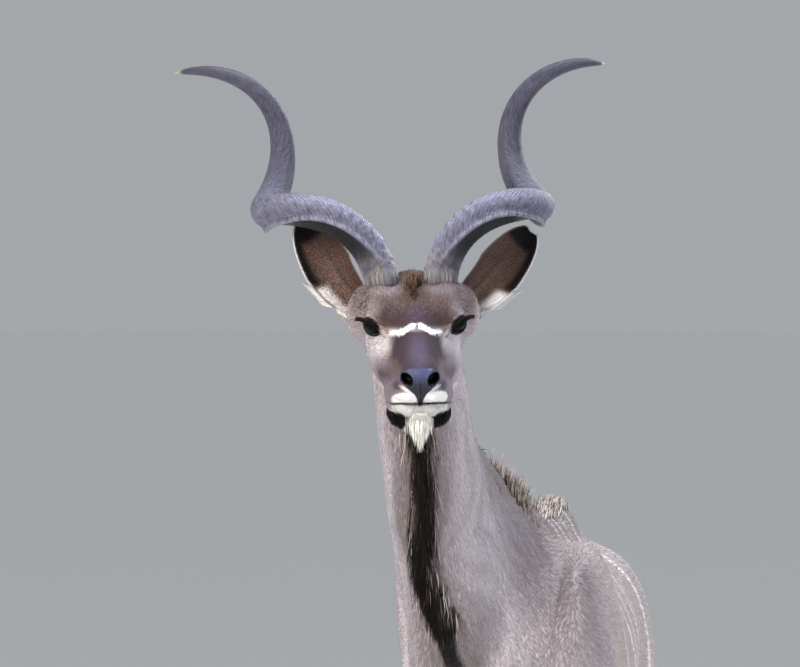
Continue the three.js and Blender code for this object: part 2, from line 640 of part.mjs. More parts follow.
function buildLeg(leg) {
  const { slope } = legCut(leg);
  const line = new THREE.CatmullRomCurve3(legLine(leg).map((p) => v3(...p)), false, 'centripetal');
  const places = leg.name.includes('fore') ? FORE_RINGS : HIND_RINGS;
  const slantWay = v3(leg.side * Math.sin(rad(slope)), 0, -Math.cos(rad(slope)));
  const coronet = { point: footOf(leg).setZ(CORONET_HEIGHT - 10), normal: coronetNormal };
  const pastCoronet = beyondPlane(coronet);
  const region = legRegion(leg);
  const field = (p) => Math.max(flesh(p), region(p) - OVERLAP, pastCoronet(p) - OVERLAP);
  const stations = places.map((t) => {
    const ahead = slantWay.clone().lerp(v3(0, 0, -1), Math.min(1, t * 3.2)).normalize();
    ahead.lerp(coronetNormal, Math.max(0, (t - 0.9) * 10)).normalize();
    return facing(line.getPoint(t), ahead, v3(-1, 0, 0));
  });
  const proud = castLoft(stations, LEG_SIDES, field, GAP);
  let shape = castLoft(stations, LEG_SIDES, field);
  shape = largest(shape.intersect(legPrism(leg, GAP)).subtract(beyond(coronet.point, coronet.normal)));
  return { shape, proud, coronet };
}

// Claws: two to a foot, flat on the floor, each narrowing to a blunt toe
const CLEFT_HALF = 2.2;
const CLAW_NARROWING = [1, 0.99, 0.9, 0.82, 0.78];
function claw(leg, coronet, inner) {
  const foot = footOf(leg);
  const half = CLAW_WIDTH / 2;
  const centreX = foot.x + inner * (half + CLEFT_HALF);
  const slope = Math.tan(rad(CORONET_SLOPE));
  const drop = GAP / Math.cos(rad(CORONET_SLOPE));
  const geometry = placed(9, 5, (t, angle) => {
    const grow = CLAW_NARROWING[Math.round(t * 4)];
    const wide = angle === null ? 0 : Math.sin(angle);
    const fore = angle === null ? 0 : -Math.cos(angle);
    const taper = 1 - 0.42 * Math.max(0, -fore) ** 2 - 0.12 * Math.max(0, fore);
    const size = t === 0 ? 1 : grow;
    const y = foot.y - 4 + fore * (HOOF_LENGTH / 2) * size + t * 9;
    const x = centreX + wide * half * taper * size - inner * 1.5 * (1 - size);
    const top = coronet.point.z - (y - foot.y) * slope - drop;
    return v3(x, y, top * t);
  });
  return plain(geometry);
}

// Dewclaws: a pair of blunt horny knobs behind each pastern
const DEWCLAW = { back: 62, apart: 13, height: 128, length: 26, radius: 10 };
function dewClaw(leg, proud, inner) {
  const foot = footOf(leg);
  const geometry = placed(6, 4, (t, angle) => {
    const radius = angle === null ? 0 : DEWCLAW.radius * Math.sqrt(1 - t * 0.6);
    const x = foot.x + inner * (DEWCLAW.apart + 4 * t) + Math.cos(angle ?? 0) * radius;
    const y = foot.y + DEWCLAW.back + t * 9 + Math.sin(angle ?? 0) * radius * 0.8;
    return v3(x, y, DEWCLAW.height - t * DEWCLAW.length);
  });
  return largest(plain(geometry).subtract(proud));
}

// Tail: hangs from the rump and ends in a tuft
const TAIL_LINE = [
  [0, 1040, 1150], [0, 1108, 1140], [0, 1142, 1050], [0, 1150, 930], [0, 1148, 800], [0, 1140, 690]];
const TAIL_RADIUS = { root: 27, tip: 13, tuft: 16 };
const TAIL_LOCKS = 10;
function tail() {
  const line = new THREE.CatmullRomCurve3(TAIL_LINE.map((p) => v3(...p)));
  const rows = 16;
  const geometry = placed(10, rows, (t, angle) => {
    const centre = line.getPoint(t);
    if (angle === null) return centre;
    const way = line.getTangent(t);
    const side = v3(-1, 0, 0);
    const up = way.clone().cross(side).normalize();
    const tuft = Math.max(0, t - 0.55) / 0.45;
    const stem = mix(TAIL_RADIUS.root, TAIL_RADIUS.tip, Math.min(1, t * 2.2));
    const radius = stem + TAIL_RADIUS.tuft * Math.sin(Math.PI * tuft);
    return centre.addScaledVector(side, Math.cos(angle) * radius)
      .addScaledVector(up, Math.sin(angle) * radius * 0.8);
  });
  const tuft = spread(0, 1, TAIL_LOCKS).map((share, i) => {
    const t = mix(0.62, 0.97, share);
    const turn = i * 2.4;
    const out = v3(Math.cos(turn), Math.sin(turn), -0.5).normalize();
    return lock({ root: line.getPoint(t), way: out, pull: v3(out.x * 0.12, out.y * 0.1, -1).normalize(),
      length: vary(88, 112), width: 26, thick: 9 });
  });
  return fused(plain(geometry).subtract(torsoProud), tuft);
}

// Long hair grows as flat, tapered locks. A lock starts under the skin, leaves along `way` and bends to
// `pull`; it is widest in the plane of its bend.
let seed = 20;
function vary(low, high) {
  seed = (seed * 16807) % 2147483647;
  return mix(low, high, seed / 2147483647);
}

const LOCK_SIDES = 4;
const LOCK_ROWS = 5;
function lock({ root, way, pull, length, width, thick }) {
  const bend = root.clone().addScaledVector(way, length * 0.45);
  const tip = bend.clone().addScaledVector(pull, length * 0.55);
  const line = new THREE.QuadraticBezierCurve3(root, bend, tip);
  const side = way.clone().cross(pull).normalize();
  return plain(placed(LOCK_SIDES, LOCK_ROWS, (t, angle) => {
    const centre = line.getPoint(t);
    if (angle === null) return centre;
    const ahead = line.getTangent(t);
    const broad = ahead.cross(side).normalize();
    const taper = 1 - 0.84 * t ** 1.7;
    return centre.addScaledVector(broad, Math.cos(angle) * taper * width / 2)
      .addScaledVector(side, Math.sin(angle) * taper * thick / 2);
  }));
}

// Locks are rooted where a ray from inside the flesh leaves it
const SINK = 9;
function lockOn(from, towards, lie, pull, size) {
  const out = towards.clone().normalize();
  const root = out.clone().multiplyScalar(cast(flesh, from, out) - SINK).add(from);
  const way = out.addScaledVector(lie, 1).normalize();
  const drift = v3(vary(-0.16, 0.16), vary(-0.1, 0.1), vary(-0.1, 0.1));
  const length = size.length * vary(0.86, 1.1) + SINK;
  return lock({ root, way, pull: pull.clone().add(drift).normalize(), ...size, length });
}

const spread = (from, to, count) => Array.from({ length: count }, (_, i) => mix(from, to, i / (count - 1)));
const neckSide = v3(-1, 0, 0);
function neckAxes(t) {
  const down = neckLine.getTangent(t);
  const back = v3(0, 1, 0).addScaledVector(down, -down.y).normalize();
  return { down, back, across: neckSide.clone().addScaledVector(down, -neckSide.dot(down)).normalize() };
}

// Nape mane: short, stands off the crest of the neck and leans towards the withers
const napeLocks = spread(0.05, 0.93, 14).map((t, i) => {
  const { down, back, across } = neckAxes(t);
  const towards = back.clone().addScaledVector(across, (i % 2 ? 0.07 : -0.07));
  return lockOn(neckLine.getPoint(t), towards, down.clone().multiplyScalar(0.7), down,
    { length: mix(50, 72, t), width: 42, thick: 10 });
});

// Throat fringe: hangs from the midline of the throat, longest half way down,
// and following the throat round to the animal's right where the neck turns into the chest
const FRINGE_COLUMNS = [-0.17, 0, 0.17];
const THROAT_TURN = 0.56;
const fringeLocks = spread(0.17, 0.95, 9).flatMap((t) => FRINGE_COLUMNS.map((lean, k) => {
  const place = Math.min(0.96, t + (k % 2) * 0.035);
  const { down, back, across } = neckAxes(place);
  const turn = THROAT_TURN * THREE.MathUtils.smoothstep(place, 0.3, 0.95);
  const towards = back.clone().negate().addScaledVector(across, lean + turn);
  return lockOn(neckLine.getPoint(place), towards, down.clone().multiplyScalar(0.6), v3(0, -0.12, -1),
    { length: mix(62, 112, Math.sin(Math.PI * t)), width: 36, thick: 11 });
}));

// Crest of the back: lies backwards from the withers to the root of the tail
const crestLocks = spread(-6, 1010, 18).map((y, i) => (
  lockOn(v3(i % 2 ? 4 : -4, y, 1060), v3(0, 0, 1), v3(0, 0.9, 0), v3(0, 1, -0.1),
    { length: mix(84, 62, Math.sqrt(Math.max(0, y) / 1010)), width: 40, thick: 9 })));

// Beard under the chin, black hair under the jaw and tuft between the horns, in the head's frame
const headWay = (x, y, z) => v3(x, y, z).transformDirection(headToBody);
const beardLocks = spread(-202, -166, 3).flatMap((y) => [-7, 7].map((x) => (
  lockOn(fromHead(x, y, -46), headWay(x / 40, 0, -1), v3(0, 0, -0.3), v3(0, 0.14, -1),
    { length: mix(48, 36, (y + 202) / 36), width: 20, thick: 9 }))));
const jawLocks = [-166, -136].flatMap((y) => [-24, 24].map((x) => (
  lockOn(fromHead(x, y, -50), headWay(x / 90, 0, -1), v3(0, 0, -0.4), v3(0, 0.05, -1),
    { length: 32, width: 34, thick: 12 }))));
const forelockLocks = spread(34, 66, 5).map((y, i) => (
  lockOn(fromHead(i % 2 ? 4 : -4, y, 0), headWay(0, 0, 1), v3(0, 0.1, 0.4), v3(0, -0.3, 1),
    { length: 36, width: 17, thick: 8 })));

const fused = (base, locks) => largest(wasm.Manifold.union([base, ...locks]));
const cutBack = (shape, cut) => shape.subtract(beyond(cut.point, cut.normal.clone().negate(), -GAP));
neck = largest(cutBack(cutBack(fused(neck, [...napeLocks, ...fringeLocks]), neckCut), headCut));
torso = largest(fused(torso, crestLocks).subtract(beyond(neckCut.point, neckCut.normal)));
head = fused(head, [...beardLocks, ...jawLocks, ...forelockLocks]);

// Assembly
const FINISHES = {
  coat: { color: 0x8d8078, roughness: 0.9, metalness: 0 },
  horn: { color: 0x7b7784, roughness: 0.45, metalness: 0 },
  eye: { color: 0x120c0a, roughness: 0.08, metalness: 0 },
  hoof: { color: 0x2c2725, roughness: 0.5, metalness: 0 },
};
const pieces = [];
const addPiece = (name, shape, finish) => pieces.push({ name, geometry: toGeometry(shape), finish });

addPiece('torso', torso, 'coat');
addPiece('neck', neck, 'coat');
addPiece('head', head, 'coat');
addPiece('tail', tail(), 'coat');
for (const [side, word] of [[1, 'left'], [-1, 'right']]) {
  addPiece(`ear_${word}`, ear(side), 'coat');
  addPiece(`eye_${word}`, eyeBall(side, EYE_RADIUS), 'eye');
  addPiece(`horn_${word}`, horn(side), 'horn');
}
for (const leg of LEGS) {
  const { shape, proud, coronet } = buildLeg(leg);
  addPiece(leg.name, shape, 'coat');
  const place = leg.name.replace('leg_', '');
  for (const [k, word] of [[1, 'a'], [-1, 'b']]) {
    addPiece(`hoof_${place}_${word}`, claw(leg, coronet, k), 'hoof');
    addPiece(`dewclaw_${place}_${word}`, dewClaw(leg, proud, k), 'hoof');
  }
}

const bounds = new THREE.Box3();
for (const piece of pieces) {
  piece.geometry.computeBoundingBox();
  bounds.union(piece.geometry.boundingBox);
}
const middle = bounds.getCenter(v3(0, 0, 0));
const kudu = new THREE.Group();
for (const { name, geometry, finish } of pieces) {
  geometry.translate(-middle.x, -middle.y, -bounds.min.z);
  geometry.computeVertexNormals();
  const mesh = new THREE.Mesh(geometry, new THREE.MeshStandardMaterial(FINISHES[finish]));
  mesh.name = name;
  kudu.add(mesh);
}

export default kudu;
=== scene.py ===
"""Greater kudu bull, life size: skin, coat, horns, eyes and hooves dressed over the CAD frame.

Shapes are worked out in millimetres in the animal's own frame, which faces -Y with its left side
at +X and the floor at z = 0, and are moved into the row frame by where the CAD eyes stand.
"""

import math

import bmesh
import bpy
import numpy as np
from mathutils import Matrix, Vector


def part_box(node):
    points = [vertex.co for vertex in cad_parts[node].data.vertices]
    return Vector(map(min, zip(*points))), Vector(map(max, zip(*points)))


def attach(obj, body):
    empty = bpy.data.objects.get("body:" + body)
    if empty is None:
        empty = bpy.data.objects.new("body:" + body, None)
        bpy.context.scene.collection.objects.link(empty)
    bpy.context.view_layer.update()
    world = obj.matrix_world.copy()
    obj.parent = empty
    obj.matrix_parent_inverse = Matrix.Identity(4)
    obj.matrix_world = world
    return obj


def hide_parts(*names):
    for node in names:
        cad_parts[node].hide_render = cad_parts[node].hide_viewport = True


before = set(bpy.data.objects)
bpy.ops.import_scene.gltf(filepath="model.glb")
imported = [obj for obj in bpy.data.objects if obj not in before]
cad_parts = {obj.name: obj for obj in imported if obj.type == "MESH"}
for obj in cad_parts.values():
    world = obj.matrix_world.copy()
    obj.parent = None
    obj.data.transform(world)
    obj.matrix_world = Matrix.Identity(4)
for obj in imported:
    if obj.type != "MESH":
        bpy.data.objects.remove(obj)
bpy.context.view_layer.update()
rng = np.random.default_rng(11)

# Sizes of the animal, in millimetres
WITHERS_HEIGHT = 1280
CROUP_HEIGHT = 1250
BACK_LENGTH = 850
BARREL_HALF_WIDTH = 196
SHOULDER_HALF_WIDTH = 188
CHEST_FLOOR = 712
SPINE_DROP = 44
EYE_PLACE = np.array([-136.0, -450.0, 1600.0])
HEAD_YAW = 6.9
HORN_YAW = 8.8
HEAD_ROLL = 1.2
HEAD_PITCH = 24
HEAD_FLOOR = 1380
EYE_CENTRE = np.array([66.0, 4.0, 2.0])
EYE_RADIUS = 20
LID_THICKNESS = 2.6
EAR_LENGTH = 200
EAR_WIDTH = 86
HORN_BASE_RADIUS = 31.5
HORN_ROOT = (50, 75, 73.6)
FORE_SPREAD = 100
HIND_SPREAD = 104
CARPUS_HEIGHT = 445
HOCK_HEIGHT = 520
FETLOCK_HEIGHT = 152
CORONET_HEIGHT = 60
HIND_FOOT_Y = 950
MID_BODY_Y = 400
FULL_TURN = 2 * math.pi


# The animal's own frames

def turned(axis, degrees):
    return np.array(Matrix.Rotation(math.radians(degrees), 3, axis))


LEVEL_TURN = turned("Z", HEAD_YAW) @ turned("Y", -HEAD_ROLL)
HORN_TURN = turned("Z", HORN_YAW) @ turned("Y", -HEAD_ROLL)
HEAD_TURN = LEVEL_TURN @ turned("X", HEAD_PITCH)


def from_head(points):
    return np.atleast_2d(points) @ HEAD_TURN.T + EYE_PLACE


def to_head(points):
    return (points - EYE_PLACE) @ HEAD_TURN


def to_level(points):
    return (points - EYE_PLACE) @ LEVEL_TURN


def box_of(node):
    """Low and high corner of a solid, in millimetres of the row frame."""
    return [np.array(corner) * 1000 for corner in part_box(node)]


SHIFT = sum(box_of("eye_left") + box_of("eye_right")) / 4 - from_head([0, *EYE_CENTRE[1:]])[0]


def to_frame(points):
    return (points + SHIFT) * 0.001


def from_frame(points):
    return points * 1000 - SHIFT


# Small helpers for numbers and colours

def unit(v):
    return v / np.maximum(np.linalg.norm(v, axis=-1, keepdims=True), 1e-9)


def ramp(start, end, x):
    """From 0 at start to 1 at end, softly."""
    t = np.clip((x - start) / (end - start), 0, 1)
    return t * t * (3 - 2 * t)


def fall(start, end, x):
    """From 1 at start to 0 at end, softly."""
    return 1 - ramp(start, end, x)


def hill(x, width):
    """One at x = 0, dying away on both sides."""
    return np.exp(-(x / width) ** 2)


def blob(a, b, centre, radii, soft=0.25):
    away = np.hypot((a - centre[0]) / radii[0], (b - centre[1]) / radii[1])
    return fall(1 - soft, 1 + soft, away)


def xyz(x, y, z):
    return np.stack(np.broadcast_arrays(x, y, z), 1)


def column(values):
    return values[:, None]


def random_ways(count, amount):
    return amount * rng.normal(0, 1, (count, 3))


def linear(hex_colour):
    """sRGB hex to linear numbers."""
    parts = [int(hex_colour[i:i + 2], 16) / 255 for i in (1, 3, 5)]
    return np.array([c / 12.92 if c <= 0.04045 else ((c + 0.055) / 1.055) ** 2.4 for c in parts])


def ground(hex_colour, count):
    return np.tile(linear(hex_colour), (count, 1))


def lay(under, *marks):
    """Lays marks over a ground, the first one lowest; a mark is a colour and its mask."""
    for hex_colour, mask in marks:
        under = under + (linear(hex_colour) - under) * column(mask)
    return under


# Flesh: balls and tapered runs blended softly; the result is below zero inside

REACH = 60


def mass(far, soft, beads, places, radius):
    """A mass of flesh: how far a point is from it, how softly it melts in, its beads and its bounds."""
    reach = radius + soft + REACH
    return {"far": far, "soft": soft, "beads": beads,
            "low": places.min(0) - reach, "high": places.max(0) + reach}


def ball(centre, radii, soft):
    centre = np.array(centre, float)
    radii = np.array(radii, float)

    def far(p):
        q = p - centre
        near = np.sqrt(((q / radii) ** 2).sum(1))
        steep = np.sqrt(((q / radii ** 2) ** 2).sum(1))
        return near * (near - 1) / np.maximum(steep, 1e-9)

    return mass(far, soft, [(centre, radii)], centre[None], radii)


def run(points, soft):
    """A tapered run through points given as x, y, z and radius."""
    points = np.array(points, float)
    pairs = list(zip(points, points[1:]))

    def far(p):
        best = np.full(len(p), 1e9)
        for a, b in pairs:
            along = b[:3] - a[:3]
            t = np.clip((p - a[:3]) @ along / (along @ along), 0, 1)
            away = np.linalg.norm(p - a[:3] - column(t) * along, axis=1)
            best = np.minimum(best, away - (a[3] + (b[3] - a[3]) * t))
        return best

    beads = []
    for a, b in pairs:
        count = int(np.linalg.norm(b[:3] - a[:3]) / (0.6 * min(a[3], b[3]))) + 2
        for t in np.linspace(0, 1, count):
            bead = a + (b - a) * t
            beads.append((bead[:3], np.full(3, bead[3])))
    return mass(far, soft, beads, points[:, :3], points[:, 3].max())


def strand(places, radii, soft):
    return run([[*place, radius] for place, radius in zip(places, radii)], soft)


def melted(a, b, soft):
    h = np.maximum(soft - np.abs(a - b), 0) / soft
    return np.minimum(a, b) - h * h * soft / 4


def blended(p, masses):
    distance = np.full(len(p), 500.0)
    for part in masses:
        near = np.all((p > part["low"]) & (p < part["high"]), axis=1)
        if near.any():
            distance[near] = melted(distance[near], part["far"](p[near]), part["soft"])
    return distance


HEAD = [
    ball([0, 62, -22], [66, 92, 66], 20),
    ball([0, 22, 2], [54, 74, 34], 24),
    run([[0, -10, -8, 41], [0, -188, -5, 29]], 26),
    ball([0, -120, -30], [38, 80, 36], 24),
    ball([0, -190, -13], [37, 39, 38], 16),
    ball([0, -207, 3], [32, 25, 22], 10),
    run([[0, -200, -61, 21], [0, -142, -67, 27]], 12),
]
for s in (1, -1):
    HEAD += [
        ball([s * 60, 7, 2], [24, 30, 26], 22),
        run([[s * 40, 28, 26, 14], [s * 62, -4, 24, 8]], 16),
        ball([s * 46, 26, -56], [32, 74, 52], 26),
        run([[s * 40, 62, -86, 30], [s * 20, -152, -58, 18]], 24),
        ball([s * 22, -197, -28], [25, 31, 16], 9),
        ball([s * 20, -188, -58], [24, 32, 17], 12),
        ball([s * 31, -170, -41], [24, 34, 26], 12),
        ball([s * 30, -158, -70], [25, 32, 28], 14),
        run([[s * 50, 72, 14, 30], [s * 74, 84, 10, 22]], 18),
        ball([s * 55, 54, 11], [30, 49, 29], 24),
        ball([s * 80, 85, -25], [34, 37, 40], 24),
        run([[s * 42, -46, -54, 22], [s * 36, -150, -52, 20]], 18),
        ball(EYE_CENTRE * [s, 1, 1], [EYE_RADIUS + LID_THICKNESS] * 3, 6),
    ]

NECK_TOP = from_head([0, 112, -58])[0]
CREST_LINE = [from_head([0, 118, -8])[0], [-112, -146, 1396], [-12, 30, WITHERS_HEIGHT - 58]]
THROAT = from_head([0, 84, -100])[0]
NECK_MIDDLE = [-135, -232, 1395]
NECK_LOW = [-115, -150, 1270]
NECK_BASE = [-52, -34, 1110]
TAIL_LINE = [[0, 1040, 1150], [0, 1108, 1140], [0, 1142, 1050],
             [0, 1150, 930], [0, 1148, 800], [0, 1140, 690]]

BODY = [
    ball([0, 70, 975], [150, 240, 975 - CHEST_FLOOR], 60),
    ball([0, 350, 958], [BARREL_HALF_WIDTH - 4, 410, 240], 80),
    ball([0, 660, 1016], [168, 300, 170], 80),
    ball([0, 880, 1030], [148, 222, 148], 70),
    ball([0, -90, 930], [104, 118, 165], 60),
    run([[0, -30, WITHERS_HEIGHT - SPINE_DROP, 40], [0, 210, 1212, 36], [0, 600, 1202, 36],
         [0, BACK_LENGTH, CROUP_HEIGHT - SPINE_DROP, 42], [0, 1070, 1148, 30]], 60),
    strand([NECK_TOP, NECK_MIDDLE, NECK_LOW, NECK_BASE], (78, 84, 97, 150), 40),
    strand(CREST_LINE, (46, 42, 54), 40),
    strand([THROAT, [-88, -168, 1060]], (42, 74), 40),
    strand(TAIL_LINE, (24, 22, 17, 12, 12, 9), 16),
]
for s in (1, -1):
    BODY += [
        ball([s * (SHOULDER_HALF_WIDTH - 66), 12, 1010], [60, 190, 200], 70),
        run([[s * 104, -110, 985, 66], [s * 114, 30, 860, 64]], 60),
        run([[s * 106, 70, 930, 72], [s * 110, 46, 800, 50]], 60),
        ball([s * 88, 910, 965], [80, 205, 175], 80),
        run([[s * 92, 860, 945, 84], [s * 112, 808, 862, 68]], 60),
    ]


def claws(x, y):
    return [ball([x + aside, y, CORONET_HEIGHT], [17, 34, 24], 10) for aside in (15, -15)]


def fore_leg(s, step):
    x = s * FORE_SPREAD
    return [
        run([[s * 112, 34, 850, 66], [s * 108, 14, 700, 47], [x, step - 2, CARPUS_HEIGHT + 50, 31]], 40),
        ball([x, step - 6, CARPUS_HEIGHT], [31, 34, 48], 24),
        run([[x, step, CARPUS_HEIGHT - 30, 24], [x, step, FETLOCK_HEIGHT + 30, 20]], 20),
        run([[x, step + 10, CARPUS_HEIGHT - 30, 18], [x, step + 12, FETLOCK_HEIGHT + 30, 15]], 16),
        ball([x, step + 3, FETLOCK_HEIGHT], [26, 30, 32], 20),
        run([[x, step - 2, FETLOCK_HEIGHT - 14, 22], [x, step - 30, CORONET_HEIGHT + 14, 25]], 18),
    ] + claws(x, step - 36)


def hind_leg(s, step):
    x = s * HIND_SPREAD
    foot = HIND_FOOT_Y + step
    return [
        run([[s * 124, 850, 830, 88], [s * 116, foot - 18, 720, 62], [s * 110, foot + 44, 600, 37]], 50),
        run([[s * 118, foot + 30, 740, 34], [x, foot + 82, HOCK_HEIGHT + 48, 21]], 40),
        ball([x, foot + 82, HOCK_HEIGHT + 34], [23, 28, 38], 24),
        run([[s * 110, foot + 44, 600, 37], [x, foot + 52, HOCK_HEIGHT, 33],
             [x, foot + 54, HOCK_HEIGHT - 60, 27], [x, foot + 38, FETLOCK_HEIGHT + 34, 21]], 24),
        run([[x, foot + 68, HOCK_HEIGHT - 20, 20], [x, foot + 50, FETLOCK_HEIGHT + 34, 15]], 18),
        ball([x, foot + 40, FETLOCK_HEIGHT + 2], [27, 31, 33], 20),
        run([[x, foot + 34, FETLOCK_HEIGHT - 14, 23], [x, foot + 6, CORONET_HEIGHT + 14, 25]], 18),
    ] + claws(x, foot)


# Each foot's side and how far it is set back
FEET = {"fore_left": (1, -22), "fore_right": (-1, 14), "hind_left": (1, 34), "hind_right": (-1, -26)}
for place, (s, step) in FEET.items():
    BODY += fore_leg(s, step) if place.startswith("fore") else hind_leg(s, step)

HEAD_TO_NECK = 34
SLOPE_STEP = 0.6


def flesh(p):
    body = blended(p, BODY)
    high = p[:, 2] > HEAD_FLOOR - 30
    if high.any():
        body[high] = melted(body[high], blended(to_head(p[high]), HEAD), HEAD_TO_NECK)
    return body


def settle(p, depth, rounds):
    """Moves points along the slope of the flesh until they lie depth under its surface."""
    for _ in range(rounds):
        value = flesh(p)
        slope = np.stack([(flesh(p + SLOPE_STEP * axis) - value) / SLOPE_STEP for axis in np.eye(3)], 1)
        move = (value + depth) / np.maximum((slope ** 2).sum(1), 0.2)
        p = p - column(np.clip(move, -10, 10)) * slope
    return p


# Regions: 0 head, 1 neck, 2 torso, 3 to 6 legs, 7 tail

HEAD_BACK = np.array([0, 0.703, -0.711])
NECK_FOOT = np.array([0, -40, 1290])
NECK_FRONT = unit(np.array([0, -0.9, 0.436]))


def past_head(p):
    return (to_head(p) - np.array([0, 155, -40])) @ HEAD_BACK


def before_torso(p):
    return (p - NECK_FOOT) @ NECK_FRONT


def region_of(p):
    x, y, z = p.T
    region = np.full(len(p), 2)
    region[before_torso(p) > 0] = 1
    region[(past_head(p) < 0) & (z > HEAD_FLOOR)] = 0
    low = z < 740 + 0.5 * np.abs(x) * (y > 500)
    region[low] = (np.where(y < MID_BODY_Y, 4, 6) - (x > 0))[low]
    region[(np.abs(x) < 36) & (y > 1100) & (z < 1120)] = 7
    return region


NECK_MARKS = np.array([from_head([0, 150, -60])[0], NECK_MIDDLE, NECK_LOW, [-34, -131, 1114]])
NECK_DROP = NECK_MARKS[0, 2] - NECK_MARKS[3, 2]
NECK_KNOTS = (NECK_MARKS[0, 2] - NECK_MARKS[:, 2]) / NECK_DROP


def between(t, knots, marks):
    return np.stack([np.interp(t, knots, marks[:, k]) for k in range(3)], 1)


def neck_share(p):
    """One on the neck, falling softly to zero over the shoulder and the withers."""
    return ramp(-55, 55, before_torso(p))


def neck_place(p):
    """Share of the way down the neck, and the neck's middle there."""
    ahead = p[:, 1] - np.interp(-p[:, 2], -NECK_MARKS[:, 2], NECK_MARKS[:, 1])
    t = np.clip((NECK_MARKS[0, 2] - p[:, 2] + 0.3 * ahead) / NECK_DROP, 0, 1)
    return t, between(t, NECK_KNOTS, NECK_MARKS)


def throat_turn(t):
    """How far round to the animal's right the middle of the throat stands, in radians."""
    return 0.56 * ramp(0.3, 0.95, t)


def wrapped(angle):
    return np.arctan2(np.sin(angle), np.cos(angle))


# The face: eye slits, mouth, nostrils and nose pad

GAZE = unit(np.array([0.7, -0.71, 0.06]))
TAILWARD = unit(np.array([0.71, 0.7, 0.0]))
UPWARD = np.cross(GAZE, TAILWARD)
SLIT_HALF_WIDTH = 17.5
SLIT_HALF_HEIGHT = 10.2
SLIT_SLANT = math.radians(12)
SLIT_DROP = 2.6
NOSTRIL_TURN = math.radians(-27)
FAR_OFF = 9.0
PAD_HEIGHTS = [68, 72, 77, 88, 98, 105, 112, 119, 127, 133]
PAD_WIDTHS = [16, 28, 33, 33.5, 25.5, 17.5, 10, 6, 3.4, 2.4]
MOUTH_DEPTHS = [-228, -210, -195, -175, -138]
MOUTH_HEIGHTS = [-41, -46.5, -54, -63, -72]


def spun(x, y, angle):
    return x * math.cos(angle) + y * math.sin(angle), y * math.cos(angle) - x * math.sin(angle)


def from_eye(h):
    """Place from the centre of the nearer eye, as on the left side."""
    return xyz(np.abs(h[:, 0]), h[:, 1], h[:, 2]) - EYE_CENTRE


def eye_slit(h):
    """Place across and up the eye slit, share of its half height, and distance from the eye's centre."""
    e = from_eye(h)
    away = np.linalg.norm(e, axis=1)
    near = e * column(EYE_RADIUS / np.maximum(away, 1))
    u, v = spun(near @ TAILWARD, near @ UPWARD + SLIT_DROP, SLIT_SLANT)
    height = SLIT_HALF_HEIGHT * np.sqrt(np.maximum(0.002, 1 - (u / SLIT_HALF_WIDTH) ** 2))
    ratio = np.where((e @ GAZE < 2) | (away > 40), FAR_OFF, np.abs(v) / height)
    return u, v, ratio, away


def over_mouth(h):
    """Height over the line of the mouth, which sinks from the front of the lips to their corners."""
    return h[:, 2] - np.interp(h[:, 1], MOUTH_DEPTHS, MOUTH_HEIGHTS)


def mouth_groove(h):
    return hill(over_mouth(h), 1.7) * fall(-156, -146, h[:, 1])


def nostril_share(h):
    """Below one inside a nostril."""
    u, v = spun(np.abs(h[:, 0]) - 22, h[:, 2] - 3.8, NOSTRIL_TURN)
    return np.where(h[:, 1] < -186, np.hypot(u / (10.2 + 0.1 * v), v / 10.8), FAR_OFF)


def nose_pad(level):
    """Half the width of the bare nose pad less the place across, above zero on the pad."""
    half = np.interp(-level[:, 2], PAD_HEIGHTS, PAD_WIDTHS, left=-20, right=-20)
    return np.where(level[:, 1] < -150, half - np.abs(level[:, 0]), -20.0)


def bare_skin(p):
    """Nose pad and lid rims: skin with no hair."""
    _, _, ratio, away = eye_slit(to_head(p))
    return ((nose_pad(to_level(p)) > 0) | ((ratio < 1.2) & (away < 26))) & (p[:, 2] > HEAD_FLOOR)


# Markings: one function colours skin and coat alike

